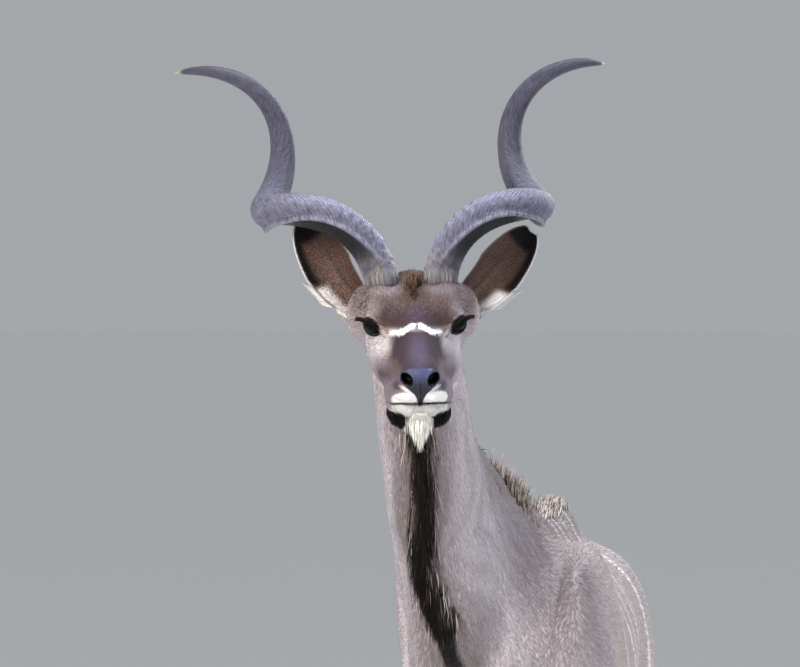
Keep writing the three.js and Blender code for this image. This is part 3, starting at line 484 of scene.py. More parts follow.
def face_colour(p):
    level = to_level(p)
    h = to_head(p)
    x = level[:, 0]
    a = np.abs(x)
    up = level[:, 2]
    back = h[:, 1]

    def patch(aside, height, wide, high, soft=0.7):
        return blob(a, up, (aside, height), (wide, high), soft)

    ragged = 1.2 * np.sin(x * 0.9 + 1.7 * np.sin(up * 0.5)) + np.sin(x * 2.3 + up)
    # grizzled temples and crown; jaw and cheeks pale under the eyes and far down the side
    smile = fall(1.2, 3.2, np.abs(a - 84 - 0.12 * (up + 20)))
    c = lay(ground("#9d9093", len(p)),
            ("#857776", ramp(-10, 40, back) * ramp(-30, 20, h[:, 2])),
            ("#6f6160", ramp(70, 110, back) * ramp(10, 40, h[:, 2])),
            ("#c3b9c0", ramp(46, 70, a) * fall(-60, 0, up) * 0.85),
            ("#6f626a", patch(50, -76, 27, 27) * 0.85),
            ("#c6bdbf", patch(57, -31, 21, 16) * 0.95),
            ("#8b7d84", smile * patch(84, -34, 9, 20) * 0.6),
            ("#675961", patch(40, -88, 22, 22) * 0.85),
            ("#e2dbd9", patch(124, -2, 14, 34, 0.6) * 0.7))
    # dark forehead between the horns and the white bar
    brow = fall(50, 88, a + 0.1 * (up - 20)) * ramp(-9, 1, up) * fall(84, 112, up)
    fleck = np.sin(x * 0.8 + 1.9 * np.sin(up * 0.33)) * np.sin(up * 0.9 + 1.4 * np.sin(a * 0.41))
    c = lay(c,
            ("#4e3d39", brow),
            ("#38292e", patch(24, 14, 32, 15) * 0.85),
            ("#44354a", patch(0, 18, 12, 16, 0.8) * 0.6),
            # painted shade: dark brown under the forelock, between the roots of the horns
            ("#4a3529", patch(8, 60, 26, 14, 0.8) * 0.9),
            ("#76686a", patch(40, 44, 16, 14, 0.9) * 0.2),
            ("#8d7e7c", brow * ramp(0.2, 0.9, fleck) * ramp(8, 24, up) * 0.3))
    # bridge of the nose, and the smudge on each side of it
    bridge = fall(33, 49, a + 0.12 * (up + 20)) * fall(-12, -5, up) * ramp(-98, -66, up)
    smudge = blob(a + 0.7 * ragged, up + ragged, (59, -81), (15, 10), 0.95)
    c = lay(c,
            ("#38292f", bridge),
            ("#4c4356", patch(0, -46, 15, 32, 0.8) * 0.85),
            ("#806a60", patch(40, -68, 7, 14) * 0.4),
            ("#6b5e66", patch(50, -112, 18, 26) * fall(-120, -70, back) * 0.85),
            ("#36282b", smudge * 0.7 * fall(-60, -20, back)),
            ("#958a90", patch(46, 60, 24, 10, 0.8) * 0.55))
    # white bar below the eyes' level, parted in the middle, and the tan line from it to the eye
    front = fall(-10, 30, back)
    line = -1.0 - 12.5 * ramp(0, 42, a) + 1.4 * np.sin(a * 0.2)
    half = 5.0 - 1.2 * ramp(20, 46, a) + 0.3 * ragged
    bar = fall(0.75, 1.1, np.abs(up - line) / half) * fall(43, 46, a) * front
    tan_line = fall(0.6, 1.2, np.abs(up - (-11 + (a - 46) * 0.85)) / 3.4)
    c = lay(c,
            ("#fbf9f6", bar * ramp(2.2, 4.0, a + 0.3 * (up - line))),
            ("#85705f", tan_line * ramp(44, 47, a) * fall(60, 64, a) * front))
    # around the eyes
    u, v, ratio, away = eye_slit(h)
    close = fall(24.5, 27, away) * (ratio < 8)
    around = fall(27, 34, away) * (ratio < 8)
    # painted highlight: a thin light line along the top of the upper lid fold, above the lashes
    lid_fold_highlight = fall(0.7, 1.3, np.abs(v - 16.6 + (u / 11) ** 2) / 1.3) * fall(6, 12, np.abs(u - 2))
    tan_arc = fall(0.7, 1.2, np.abs(v - 12.4 + (u / 8.5) ** 2) / 1.2) * (u < 0)
    c = lay(c,
            ("#d9cfc8", lid_fold_highlight * around * 0.6),
            ("#8a7a6e", tan_arc * around * 0.6),
            ("#060506", fall(1.14, 1.26, ratio) * close),
            ("#0b0809", fall(1.6, 1.85, ratio) * (v > 0) * close))
    # white lip and chin, parted by the mouth and the groove under the nose, with painted shade along the
    # lip's lower edge and a painted shadow beside the nose pad; black sides of the jaw
    muzzle = fall(-120, -100, level[:, 1])
    lips = over_mouth(h) / 0.9
    middle = 13 - 0.06 * (a - 20) + 0.04 * x
    shape = (np.abs((a - 26) / 21.5) ** 2.4 + np.abs((lips - middle) / 13.5) ** 2.4) ** (1 / 2.4)
    lip = fall(0.9, 1.06, shape - 0.03 * ragged) * muzzle
    pad_edge = nose_pad(level)
    beside = ramp(-12, -7, pad_edge) * fall(-1.5, 0, pad_edge)
    chin = np.interp(5.6 - up, [134, 140, 146, 152, 158, 166, 176], [46, 42, 34, 27, 22, 20, 18])
    below_lip = (lips < 0) & (level[:, 1] < -100)
    black_jaw = fall(-147, -139, up) * ramp(0, 3, a - chin + 0.8 * ragged) * fall(58, 66, a)
    under_jaw = fall(-72, -64, h[:, 2]) * ramp(-186, -176, back) * fall(-110, -80, back)
    c = lay(c,
            ("#d2d0ce", lip),
            # painted shade along the lower edge of the lip, next to the line of the mouth
            ("#a5a1a0", lip * fall(2, 7, lips) * 0.5),
            # painted shadow between the lip and the pale patch beside the nose pad
            ("#2c2227", patch(39, -97, 6, 7.5, 0.8) * muzzle * 0.8),
            ("#d2cecf", beside * ramp(-114, -108, up) * fall(-101, -94, up) * muzzle * 0.85),
            ("#b0aca8", below_lip * muzzle * fall(45, 49, a)),
            ("#8d8783", patch(0, -148, 12, 10, 0.8) * muzzle * 0.6),
            ("#070506", black_jaw * muzzle),
            ("#0c090a", under_jaw * fall(32, 40, a)))
    # nose pad: bluish above as a painted reflection of the sky, near black below the nostrils
    pad = ramp(-1, 0.5, pad_edge)
    speckle = np.sin(x * 1.7 + up * 0.6) * np.sin(up * 1.5 - x * 0.5)
    return lay(c,
               ("#353648", pad),
               # painted reflection of the sky: lighter and bluer over the upper part of the pad
               ("#474a6a", pad * patch(0, -74, 34, 15, 0.8) * 0.9),
               ("#15141c", pad * fall(-106, -84, up + 2.0 * ragged) * 0.85),
               ("#0b0a0f", pad * ramp(0.1, 0.5, speckle) * fall(-92, -76, up) * 0.7),
               ("#050508", pad * fall(0.8, 2.0, a) * fall(-98, -86, up)),
               ("#15131b", pad * ramp(24, 30, a) * fall(-84, -76, up)),
               # painted shade: the insides of the nostrils near black
               ("#020203", fall(0.9, 1.1, nostril_share(h))),
               ("#0d0a0b", np.minimum(1, 1.5 * mouth_groove(h)) * (1 - 0.6 * ramp(-192, -176, back))))


FLANK_LINES = (95, 205, 318, 430, 548, 662, 780, 890)


def body_colour(p, region):
    x, y, up = p.T
    side = np.abs(x)
    torso = (region == 2).astype(float)
    flank = np.sin(y / 71 + 1.3 * np.sin(up / 59)) * np.sin(up / 63 + 1.1 * np.sin(y / 83))
    c = lay(ground("#a99e9a", len(p)),
            ("#8c817f", ramp(1130, 1240, up) * fall(30, 120, side) * torso),
            ("#ada19b", fall(830, 960, up) * torso * 0.7))
    c = lay(c * column(1 - 0.07 * torso * flank),
            ("#8a7d77", fall(735, 790, up) * fall(60, 130, side) * torso),
            ("#a3968f", blob(y, up, (60, 960), (170, 190), 0.7) * torso * 0.35))
    # thin white lines down the flank from the crest
    for i, place in enumerate(FLANK_LINES):
        slant = place + 0.10 * (1180 - up) + 5 * np.sin(up / 47 + i)
        line = fall(3.6, 6.4, np.abs(y - slant)) * ramp(880 + 30 * (i % 3), 960 + 30 * (i % 3), up)
        c = lay(c, ("#f2eeea", line * torso * 0.85))
    # neck: pale sides, darker crest, black stripe down the throat with tan edges, and painted shade down the
    # front of the neck beside the stripe
    t, centre = neck_place(p)
    out = p - centre
    around = np.abs(wrapped(np.arctan2(out[:, 0], -out[:, 1]) + throat_turn(t)))
    across = around * np.hypot(out[:, 0], out[:, 1])
    upper = (region == 1) | (region == 2)
    neck = np.maximum(neck_share(p) * upper, (region == 2) * fall(-140, -60, y) * ramp(900, 960, up))
    streak = np.sin(across * 0.16 + 1.8 * np.sin(t * 11) + 1.2 * np.sin(across * 0.05 + t * 23))
    c = lay(c,
            ("#9f9498", neck),
            ("#cfc6ca", neck * ramp(0.35, 0.9, around) * fall(1.3, 2.1, around) * 0.6),
            ("#94877f", neck * ramp(2.3, 2.9, around)),
            # painted shade: darker down the front of the neck beside the throat stripe, below the head
            ("#7f736d", neck * fall(24, 64, across) * ramp(0.05, 0.25, t) * 0.6))
    # legs: tawny below the knee and hock, dark garters, white marks above the hoof; tail tipped black
    legs = (region >= 3) & (region <= 6)
    fore = y < MID_BODY_Y
    ahead = y - np.where(fore, 0, HIND_FOOT_Y + 30)
    tail = (region == 7).astype(float)
    return lay(c * column(1 - 0.13 * neck * ramp(-0.1, 0.8, streak) * ramp(0.02, 0.12, t)),
               ("#1a1411", neck * fall(10, 19, across) * ramp(0.1, 0.2, t)),
               ("#a98a68", legs * fall(360, 640, up) * 0.9),
               ("#5a473a", legs * ramp(560, 620, up) * fall(690, 760, up) * fore * 0.35),
               ("#2d231d", legs * fall(98, 112, up) * ramp(74, 82, up) * 0.8),
               ("#ddd3c4", legs * fall(80, 92, up) * (ahead < 10) * 0.8),
               ("#e6ddd2", legs * fall(26, 40, np.hypot(up - 118, (ahead + 26) * 0.8)) * 0.7),
               ("#8d7d72", tail),
               ("#efeae4", tail * (y < 1142) * fall(1040, 1090, up)),
               ("#1a1412", tail * fall(760, 820, up)))


def coat_colour(p):
    c = body_colour(p, region_of(p))
    share = fall(-34, 26, past_head(p)) * (p[:, 2] > HEAD_FLOOR - 10)
    near = share > 0
    if near.any():
        c[near] += (face_colour(p[near]) - c[near]) * share[near, None]
    return c


def lie_of(p, normal):
    """The way the coat lies, along the skin."""
    region = region_of(p)
    way = np.tile([0.0, 1.0, -0.42], (len(p), 1))
    upper = (region == 1) | (region == 2)
    way += (np.array([0.12, 0.45, -1.0]) - way) * column(neck_share(p) * upper)
    way[(region >= 3) & (region <= 6)] = [0, 0.12, -1]
    way[region == 7] = [0, 0.05, -1]
    head = region == 0
    h = to_head(p[head])
    sink = 0.35 * ramp(20, 60, np.abs(h[:, 0])) + 0.5 * ramp(-40, -60, h[:, 2])
    way[head] = xyz(h[:, 0] * 0.004, 1, -sink) @ HEAD_TURN.T
    return along_skin(way, normal)


def along_skin(way, normal):
    return unit(way - column((way * normal).sum(1)) * normal)


# Unwrap of the skin's own shape: round and along each region, with fans over its ends

# Each region's place on the sheet (left, bottom, width, height) and the span of its own length
TILES = {0: (0.0, 0.6, 0.5, 0.4, -265, 170), 1: (0.5, 0.6, 0.5, 0.4, 0, 1),
         2: (0.0, 0.2, 0.6, 0.4, -330, 1180), 3: (0.0, 0.0, 0.2, 0.2, 40, 790),
         4: (0.2, 0.0, 0.2, 0.2, 40, 790), 5: (0.4, 0.0, 0.2, 0.2, 40, 860),
         6: (0.6, 0.0, 0.2, 0.2, 40, 860), 7: (0.8, 0.0, 0.1, 0.2, 640, 1140)}


def fanned(along, radial, start, end, reach):
    radial = np.maximum(radial, 1)
    front = start - reach * np.arctan2(np.maximum(0, start - along), radial)
    back = end + reach * np.arctan2(np.maximum(0, along - end), radial)
    return np.where(along < start, front, np.where(along > end, back, along))


def unwrap(p, region):
    """Turn round the region's axis and place along it, in radians and millimetres."""
    x, y, z = p.T
    head_x, head_y, head_z = to_head(p).T
    head_z = head_z + 14
    t, centre = neck_place(p)
    over_core = z - np.interp(y, [-104, 915], [952, 1070])
    tail_y = np.interp(z, [690, 930, 1050, 1140], [1140, 1150, 1142, 1108])
    ways = {0: (head_x, head_z, fanned(head_y, np.hypot(head_x, head_z), -188, 400, 45)),
            1: (x - centre[:, 0], y - centre[:, 1], t),
            2: (x, over_core, fanned(y, np.hypot(x, over_core), -104, 915, 140)),
            7: (x, y - tail_y, z)}
    for number, (s, step) in zip((3, 4, 5, 6), FEET.values()):
        if number < 5:
            ways[number] = (x - s * FORE_SPREAD, y - step, z)
        else:
            foot = HIND_FOOT_Y + step + 50 - 0.3 * np.maximum(0, z - 600)
            ways[number] = (x - s * HIND_SPREAD, y - foot, z)
    turn = np.zeros(len(p))
    along = np.zeros(len(p))
    for number, (across, ahead, place) in ways.items():
        k = region == number
        turn[k] = np.arctan2(across[k], ahead[k])
        along[k] = place[k]
    return turn, along


def inset(share):
    return 0.02 + 0.96 * share


def sheet_place(p, region):
    turn, along = unwrap(p, region)
    uv = np.zeros((len(p), 2))
    for number, (left, bottom, wide, high, start, end) in TILES.items():
        k = region == number
        uv[k, 0] = left + wide * inset(turn[k] / FULL_TURN + 0.5)
        uv[k, 1] = bottom + high * inset(np.clip((along[k] - start) / (end - start), 0, 1))
    return uv


# Meshes

def read(items, key, width=3, kind=np.float32):
    values = np.empty(len(items) * width, kind)
    items.foreach_get(key, values)
    return values.reshape(-1, width)


def coordinates(mesh):
    return read(mesh.vertices, "co").astype(float)


def places_of(mesh):
    return from_frame(coordinates(mesh))


def move_vertices(mesh, points):
    mesh.vertices.foreach_set("co", to_frame(points).astype(np.float32).ravel())
    mesh.update()


def normals_of(mesh):
    mesh.update()
    return read(mesh.vertex_normals, "vector").astype(float)


def edit(mesh, change):
    bm = bmesh.new()
    bm.from_mesh(mesh)
    change(bm)
    bm.to_mesh(mesh)
    bm.free()


def stood(name, data):
    """An object with its data, put in the scene."""
    thing = bpy.data.objects.new(name, data)
    bpy.context.scene.collection.objects.link(thing)
    return thing


def new_piece(name, mesh, material, replaced=()):
    piece = stood(name, mesh)
    mesh.materials.clear()
    mesh.materials.append(material)
    mesh.shade_smooth()
    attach(piece, "root")
    if replaced:
        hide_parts(*replaced)


def paint(mesh, colours):
    layer = mesh.color_attributes.new(name="coat", type="FLOAT_COLOR", domain="POINT")
    values = np.ones((len(mesh.vertices), 4), np.float32)
    values[:, :3] = colours
    layer.data.foreach_set("color", values.ravel())


def put_uv(mesh, name, vertex_uv):
    corner = read(mesh.loops, "vertex_index", 1, np.int32).ravel()
    mesh.uv_layers.new(name=name).data.foreach_set("uv", vertex_uv[corner].astype(np.float32).ravel())


def placed(name, segments, rows, place):
    """A sphere whose vertices are put by place(t, angle, pole), t from 0 at one pole to 1 at the other."""
    mesh = bpy.data.meshes.new(name)
    edit(mesh, lambda bm: bmesh.ops.create_uvsphere(bm, u_segments=segments, v_segments=rows, radius=1))
    co = coordinates(mesh)
    row = np.round(np.arccos(np.clip(-co[:, 2], -1, 1)) / math.pi * rows)
    pole = (row == 0) | (row == rows)
    t = np.where(pole, row / rows, (row - 1) / (rows - 2))
    angle = np.arctan2(co[:, 1], co[:, 0])
    move_vertices(mesh, place(t, angle, pole))
    edit(mesh, lambda bm: bmesh.ops.recalc_face_normals(bm, faces=bm.faces))
    return mesh, t, angle


# Materials

def add(tree, kind, settings=None, links=None):
    """Adds a node: settings are its own or its sockets', a link is socket: source or (source, output)."""
    node = tree.nodes.new("ShaderNode" + kind)
    for key, value in (settings or {}).items():
        if hasattr(node, key):
            setattr(node, key, value)
        else:
            node.inputs[key].default_value = value
    for key, source in (links or {}).items():
        source, output = source if isinstance(source, tuple) else (source, 0)
        tree.links.new(source.outputs[output], node.inputs[key])
    return node


def fresh(name):
    material = bpy.data.materials.new(name)
    material.use_nodes = True
    material.node_tree.nodes.clear()
    return material, material.node_tree


def short_coat():
    """Short matt hair lying flat on the hide: fine strokes along the lie break the colour and the light."""
    material, tree = fresh("short kudu coat")
    marks = add(tree, "Attribute", {"attribute_name": "coat"})
    lie = add(tree, "UVMap", {"uv_map": "lie"})
    # strokes 2 mm wide and 16 mm long, because single hairs would be too fine to show
    strokes = add(tree, "Mapping", {"Scale": (500, 62, 1)}, {"Vector": lie})
    hair = add(tree, "TexNoise", {"Scale": 1.0, "Detail": 3.0, "Roughness": 0.6}, {"Vector": strokes})
    # patches about 60 mm across where the coat lies thicker or thinner
    place = add(tree, "TexCoord")
    patches = add(tree, "TexNoise", {"Scale": 16.0, "Detail": 4.0}, {"Vector": (place, "Object")})
    hair_tone = add(tree, "MapRange", {"From Min": 0.3, "From Max": 0.7, "To Min": 0.74, "To Max": 1.2},
                    {"Value": hair})
    patch_tone = add(tree, "MapRange", {"From Min": 0.3, "From Max": 0.7, "To Min": 0.9, "To Max": 1.1},
                     {"Value": patches})
    tone = add(tree, "Math", {"operation": "MULTIPLY"}, {0: hair_tone, 1: patch_tone})
    shade = add(tree, "VectorMath", {"operation": "SCALE"}, {"Vector": marks, "Scale": tone})
    bump = add(tree, "Bump", {"Strength": 0.5, "Distance": 0.0016}, {"Height": hair})
    shader = add(tree, "BsdfPrincipled", {"Roughness": 0.85, "Specular IOR Level": 0.1, "IOR": 1.55,
                                          "Sheen Weight": 0.03, "Sheen Roughness": 0.5},
                 {"Base Color": shade, "Normal": bump})
    add(tree, "OutputMaterial", links={"Surface": shader})
    return material


def hair_tufts():
    """Keratin hair in tufts: matt, a little sheen, colour carried by each tuft from its root."""
    material, tree = fresh("kudu hair")
    marks = add(tree, "Attribute", {"attribute_name": "coat"})
    shader = add(tree, "BsdfPrincipled", {"Roughness": 0.75, "Specular IOR Level": 0.12, "IOR": 1.55,
                                          "Sheen Weight": 0.02, "Sheen Roughness": 0.4},
                 {"Base Color": marks})
    add(tree, "OutputMaterial", links={"Surface": shader})
    return material


def horn_keratin():
    """Horn: grey keratin sheath with fine grain along it and dull polish, worn to ivory at the tips."""
    material, tree = fresh("horn keratin")
    marks = add(tree, "Attribute", {"attribute_name": "coat"})
    lie = add(tree, "UVMap", {"uv_map": "lie"})
    # grain 1.6 mm wide and 40 mm long
    strokes = add(tree, "Mapping", {"Scale": (620, 25, 1)}, {"Vector": lie})
    grain = add(tree, "TexNoise", {"Scale": 1.0, "Detail": 4.0, "Roughness": 0.65}, {"Vector": strokes})
    # growth lines run slantwise round the horn, about 4 mm apart
    slanted = add(tree, "Mapping", {"Rotation": (0, 0, math.radians(-50))}, {"Vector": lie})
    lines = add(tree, "Mapping", {"Scale": (40, 420, 1)}, {"Vector": slanted})
    wrinkle = add(tree, "TexNoise", {"Scale": 1.0, "Detail": 3.0, "Roughness": 0.6}, {"Vector": lines})
    grain_tone = add(tree, "MapRange", {"From Min": 0.3, "From Max": 0.7, "To Min": 0.66, "To Max": 1.26},
                     {"Value": grain})
    line_tone = add(tree, "MapRange", {"From Min": 0.35, "From Max": 0.6, "To Min": 0.42, "To Max": 1.18},
                    {"Value": wrinkle})
    tone = add(tree, "Math", {"operation": "MULTIPLY"}, {0: grain_tone, 1: line_tone})
    shade = add(tree, "VectorMath", {"operation": "SCALE"}, {"Vector": marks, "Scale": tone})
    bump = add(tree, "Bump", {"Strength": 0.5, "Distance": 0.0012}, {"Height": grain})
    folds = add(tree, "Bump", {"Strength": 0.95, "Distance": 0.004}, {"Height": wrinkle, "Normal": bump})
    shader = add(tree, "BsdfPrincipled", {"Roughness": 0.5, "IOR": 1.54, "Specular IOR Level": 0.25},
                 {"Base Color": shade, "Normal": folds})
    add(tree, "OutputMaterial", links={"Surface": shader})
    return material


def wet_skin():
    """Bare wet skin of the nose pad and the lid rims: dark, pebbled, glossy."""
    material, tree = fresh("wet nose skin")
    marks = add(tree, "Attribute", {"attribute_name": "coat"})
    place = add(tree, "TexCoord")
    # pebbles 2.5 mm across
    pebbles = add(tree, "TexVoronoi", {"Scale": 400.0}, {"Vector": (place, "Object")})
    bump = add(tree, "Bump", {"Strength": 0.35, "Distance": 0.0006}, {"Height": pebbles})
    shader = add(tree, "BsdfPrincipled", {"Roughness": 0.4, "IOR": 1.45, "Specular IOR Level": 0.2},
                 {"Base Color": marks, "Normal": bump})
    add(tree, "OutputMaterial", links={"Surface": shader})
    return material


def wet_eye():
    """Eyeball under a film of tears: near-black brown iris with a clear glossy coat."""
    material, tree = fresh("wet eye")
    marks = add(tree, "Attribute", {"attribute_name": "coat"})
    shader = add(tree, "BsdfPrincipled", {"Roughness": 0.05, "IOR": 1.34, "Specular IOR Level": 0.09},
                 {"Base Color": marks})
    add(tree, "OutputMaterial", links={"Surface": shader})
    return material


def hoof_keratin():
    """Hoof: black-brown keratin, satin, with fine rings parallel to the coronet."""
    material, tree = fresh("hoof keratin")
    place = add(tree, "TexCoord")
    # rings 3 mm apart, worn
    rings = add(tree, "Mapping", {"Scale": (30, 60, 340)}, {"Vector": (place, "Object")})
    wear = add(tree, "TexNoise", {"Scale": 1.0, "Detail": 4.0}, {"Vector": rings})
    dark = (*linear("#1d1816"), 1)
    pale = (*linear("#4c423c"), 1)
    tone = add(tree, "Mix", {"data_type": "RGBA", "A": dark, "B": pale}, {"Factor": wear})
    bump = add(tree, "Bump", {"Strength": 0.4, "Distance": 0.001}, {"Height": wear})
    shader = add(tree, "BsdfPrincipled", {"Roughness": 0.5, "IOR": 1.54},
                 {"Base Color": (tone, "Result"), "Normal": bump})
    add(tree, "OutputMaterial", links={"Surface": shader})
    return material


COAT = short_coat()
HAIR = hair_tufts()
HORN = horn_keratin()
NOSE = wet_skin()
EYE = wet_eye()
HOOF = hoof_keratin()


# Skin: beads along every mass, fused, then settled onto the blended flesh

SKIN_VOXEL = 0.01
NECK_LENGTH = 620
REGION_RADII = np.array([55, 95, 180, 32, 32, 36, 36, 14])
NOSTRIL_DEPTH = 19
LIP_GROOVE_DEPTH = 3.6


def coat_depth(p):
    """The skin lies under the outline by the depth of the short coat: thin on face and feet."""
    region = region_of(p)
    depth = np.full(len(p), 3.5)
    depth[region == 0] = 1.2
    depth[(region >= 3) & (region <= 6) & (p[:, 2] < 560)] = 2.0
    return depth


def mesh_of(name, points, corners):
    """A mesh from vertex places and triangles' corners."""
    mesh = bpy.data.meshes.new(name)
    mesh.vertices.add(len(points))
    move_vertices(mesh, points)
    mesh.loops.add(corners.size)
    mesh.loops.foreach_set("vertex_index", corners.astype(np.int32).ravel())
    mesh.polygons.add(len(corners))
    mesh.polygons.foreach_set("loop_start", np.arange(0, corners.size, 3, dtype=np.int32))
    mesh.update(calc_edges=True)
    return mesh


def pattern(bm):
    """Vertices and triangles of a small shape that is copied many times."""
    bm.verts.index_update()
    verts = np.array([v.co[:] for v in bm.verts])
    corners = np.array([[v.index for v in f.verts] for f in bm.faces])
    bm.free()
    return verts, corners


def copied(corners, size, count):
    return (corners[None] + (np.arange(count) * size)[:, None, None]).reshape(-1, 3)


def rough_skin():
    bm = bmesh.new()
    bmesh.ops.create_icosphere(bm, subdivisions=3, radius=1.0)
    verts, corners = pattern(bm)
    parts = []
    for masses, turn, origin in ((BODY, np.eye(3), np.zeros(3)), (HEAD, HEAD_TURN, EYE_PLACE)):
        for centre, radii in (bead for part in masses for bead in part["beads"]):
            parts.append((verts * radii + centre) @ turn.T + origin)
    beads = stood("beads", mesh_of("beads", np.concatenate(parts), copied(corners, len(verts), len(parts))))
    remesh = beads.modifiers.new("fuse", "REMESH")
    remesh.mode = "VOXEL"
    remesh.voxel_size = SKIN_VOXEL
    fused = bpy.data.meshes.new_from_object(beads.evaluated_get(bpy.context.evaluated_depsgraph_get()))
    bpy.data.objects.remove(beads)
    return fused


def settle_mesh(mesh, rounds):
    p = places_of(mesh)
    move_vertices(mesh, settle(p, coat_depth(p), rounds))


def smooth_mesh(mesh, times, chosen):
    def smooth(bm):
        verts = [v for v in bm.verts if chosen[v.index]]
        for _ in range(times):
            bmesh.ops.smooth_vert(bm, verts=verts, factor=0.5, use_axis_x=True, use_axis_y=True,
                                  use_axis_z=True)
    edit(mesh, smooth)


def refine(mesh, chosen):
    """Halves the edges of the chosen part of the mesh."""
    def halve(bm):
        edges = [e for e in bm.edges if chosen[e.verts[0].index] and chosen[e.verts[1].index]]
        bmesh.ops.subdivide_edges(bm, edges=edges, cuts=1, use_grid_fill=True)
    edit(mesh, halve)


def fine_parts(p, stage):
    """Where the skin is made finer: head and feet first, then eyes, bar and muzzle, then lids and nose."""
    h = to_head(p)
    head = (region_of(p) == 0) & (h[:, 1] < 130)
    if stage == 0:
        return head | (p[:, 2] < 500)
    away = np.linalg.norm(from_eye(h), axis=1)
    if stage == 1:
        bar = (np.abs(h[:, 1] + 18) < 30) & (h[:, 2] > 12)
        return head & ((away < 44) | (h[:, 1] < -132) | bar)
    return head & ((away < 31) | ((h[:, 1] < -186) & (h[:, 2] > -66)))


def carve_face(mesh):
    """Sockets behind the lids, lid rims, nostrils, the line of the mouth and the groove under the nose."""
    p = places_of(mesh)
    face = (region_of(p) == 0) & (to_head(p)[:, 1] < 60)
    h = to_head(p[face])
    n = normals_of(mesh)[face] @ HEAD_TURN
    u, v, ratio, away = eye_slit(h)
    mirror = np.sign(h[:, 0])
    ray = unit(h - xyz(mirror * EYE_CENTRE[0], *EYE_CENTRE[1:]))
    lid = away + (np.minimum(away, EYE_RADIUS + 2.4) - away) * fall(1.1, 2.1, ratio)
    rim = hill(ratio - 1.2, 0.2) * (ratio < 3)
    fold = hill(v - 14.4 + (u / 10) ** 2, 1.3) * (np.abs(u) < 16) * (ratio < 8) * (v > 0)
    lid = lid + (16.5 - lid) * fall(0.93, 1.03, ratio) + 1.1 * rim - 1.2 * fold
    h = h + ray * column(lid - away)
    hole = nostril_share(h)
    h = h + xyz(-0.2 * mirror, 0.96, 0.05) * column(NOSTRIL_DEPTH * fall(0.6, 1.0, hole))
    h = h + n * column(1.5 * hill(hole - 1.22, 0.2))
    x, y, z = h.T
    under_nose = hill(x, 1.5) * ramp(-44, -38, z) * fall(-12, -2, z) * (y < -190)
    h = h - n * column(LIP_GROOVE_DEPTH * mouth_groove(h) + 2.0 * under_nose)
    p[face] = from_head(h)
    move_vertices(mesh, p)


def build_skin():
    mesh = rough_skin()
    settle_mesh(mesh, 4)
    smooth_mesh(mesh, 2, np.ones(len(mesh.vertices), bool))
    settle_mesh(mesh, 2)
    for stage in range(3):
        refine(mesh, fine_parts(places_of(mesh), stage))
        settle_mesh(mesh, 2)
    p = places_of(mesh)
    smooth_mesh(mesh, 8, (region_of(p) == 1) & (p[:, 2] < HEAD_FLOOR))
    carve_face(mesh)
    p = places_of(mesh)
    region = region_of(p)
    turn, along = unwrap(p, region)
    along = np.where(region == 1, along * NECK_LENGTH, along)
    put_uv(mesh, "OFBake", sheet_place(p, region))
    put_uv(mesh, "lie", np.stack([turn * REGION_RADII[region], along], 1) * 0.001)
    paint(mesh, coat_colour(p))
    legs = ["leg_" + place for place in FEET]
    new_piece("skin", mesh, COAT, ["torso", "neck", "head", "tail"] + legs)
    mesh.materials.append(NOSE)
    middles = from_frame(read(mesh.polygons, "center").astype(float))
    mesh.polygons.foreach_set("material_index", bare_skin(middles).astype(np.int32))
    return mesh


# Hair: a three-sided blade copied onto many roots and bent along its own line

def blade(cuts):
    bm = bmesh.new()
    bmesh.ops.create_cone(bm, cap_ends=True, segments=3, radius1=0.5, radius2=0.0, depth=1.0,
                          matrix=Matrix.Translation((0, 0, 0.5)))
    bmesh.ops.remove_doubles(bm, verts=bm.verts, dist=1e-5)
    for height in cuts:
        bmesh.ops.bisect_plane(bm, geom=bm.verts[:] + bm.edges[:] + bm.faces[:], plane_co=(0, 0, height),
                               plane_no=(0, 0, 1))
    bmesh.ops.triangulate(bm, faces=bm.faces)
    return pattern(bm)


SHORT = blade([])
MEDIUM = blade([0.45])
LONG = blade([0.2, 0.42, 0.66])
PATCH = 0.003
RUMP_START = 420
HAIRLINE_HEIGHT = 64


def hair_piece(name, roots, way, pull, flat, length, width, colours, region=0, tip_tone=1.1,
               shape=LONG, sheet=None):
    """Hair blades as one mesh. way and pull are the blade's first and last direction, flat its face."""
    verts, corners = shape
    t = verts[:, 2]
    body = np.where(t < 0.999, (1 - 0.9 * t ** 1.8) / np.maximum(1 - t, 1e-6), 0)
    side = unit(np.cross(way, flat))
    lift = unit(np.cross(side, way))
    late = column(0.5 * t ** 2)
    bend = way[:, None] * (column(t) - late) + pull[:, None] * late
    points = roots[:, None] + length[:, None, None] * bend
    points = points + side[:, None] * (column(width) * (verts[:, 0] * body))[:, :, None]
    points = points + lift[:, None] * (column(width) * (verts[:, 1] * body * 0.45))[:, :, None]
    mesh = mesh_of(name, points.reshape(-1, 3), copied(corners, len(verts), len(roots)))
    shades = colours[:, None] * column(1 + (tip_tone - 1) * t)
    paint(mesh, np.clip(shades.reshape(-1, 3), 0, 1))
    if sheet is None:
        sheet = sheet_place(roots, np.broadcast_to(region, len(roots)))
    put_uv(mesh, "OFBake", (sheet[:, None] + verts[:, :2] * PATCH).reshape(-1, 2))
    new_piece(name, mesh, HAIR)


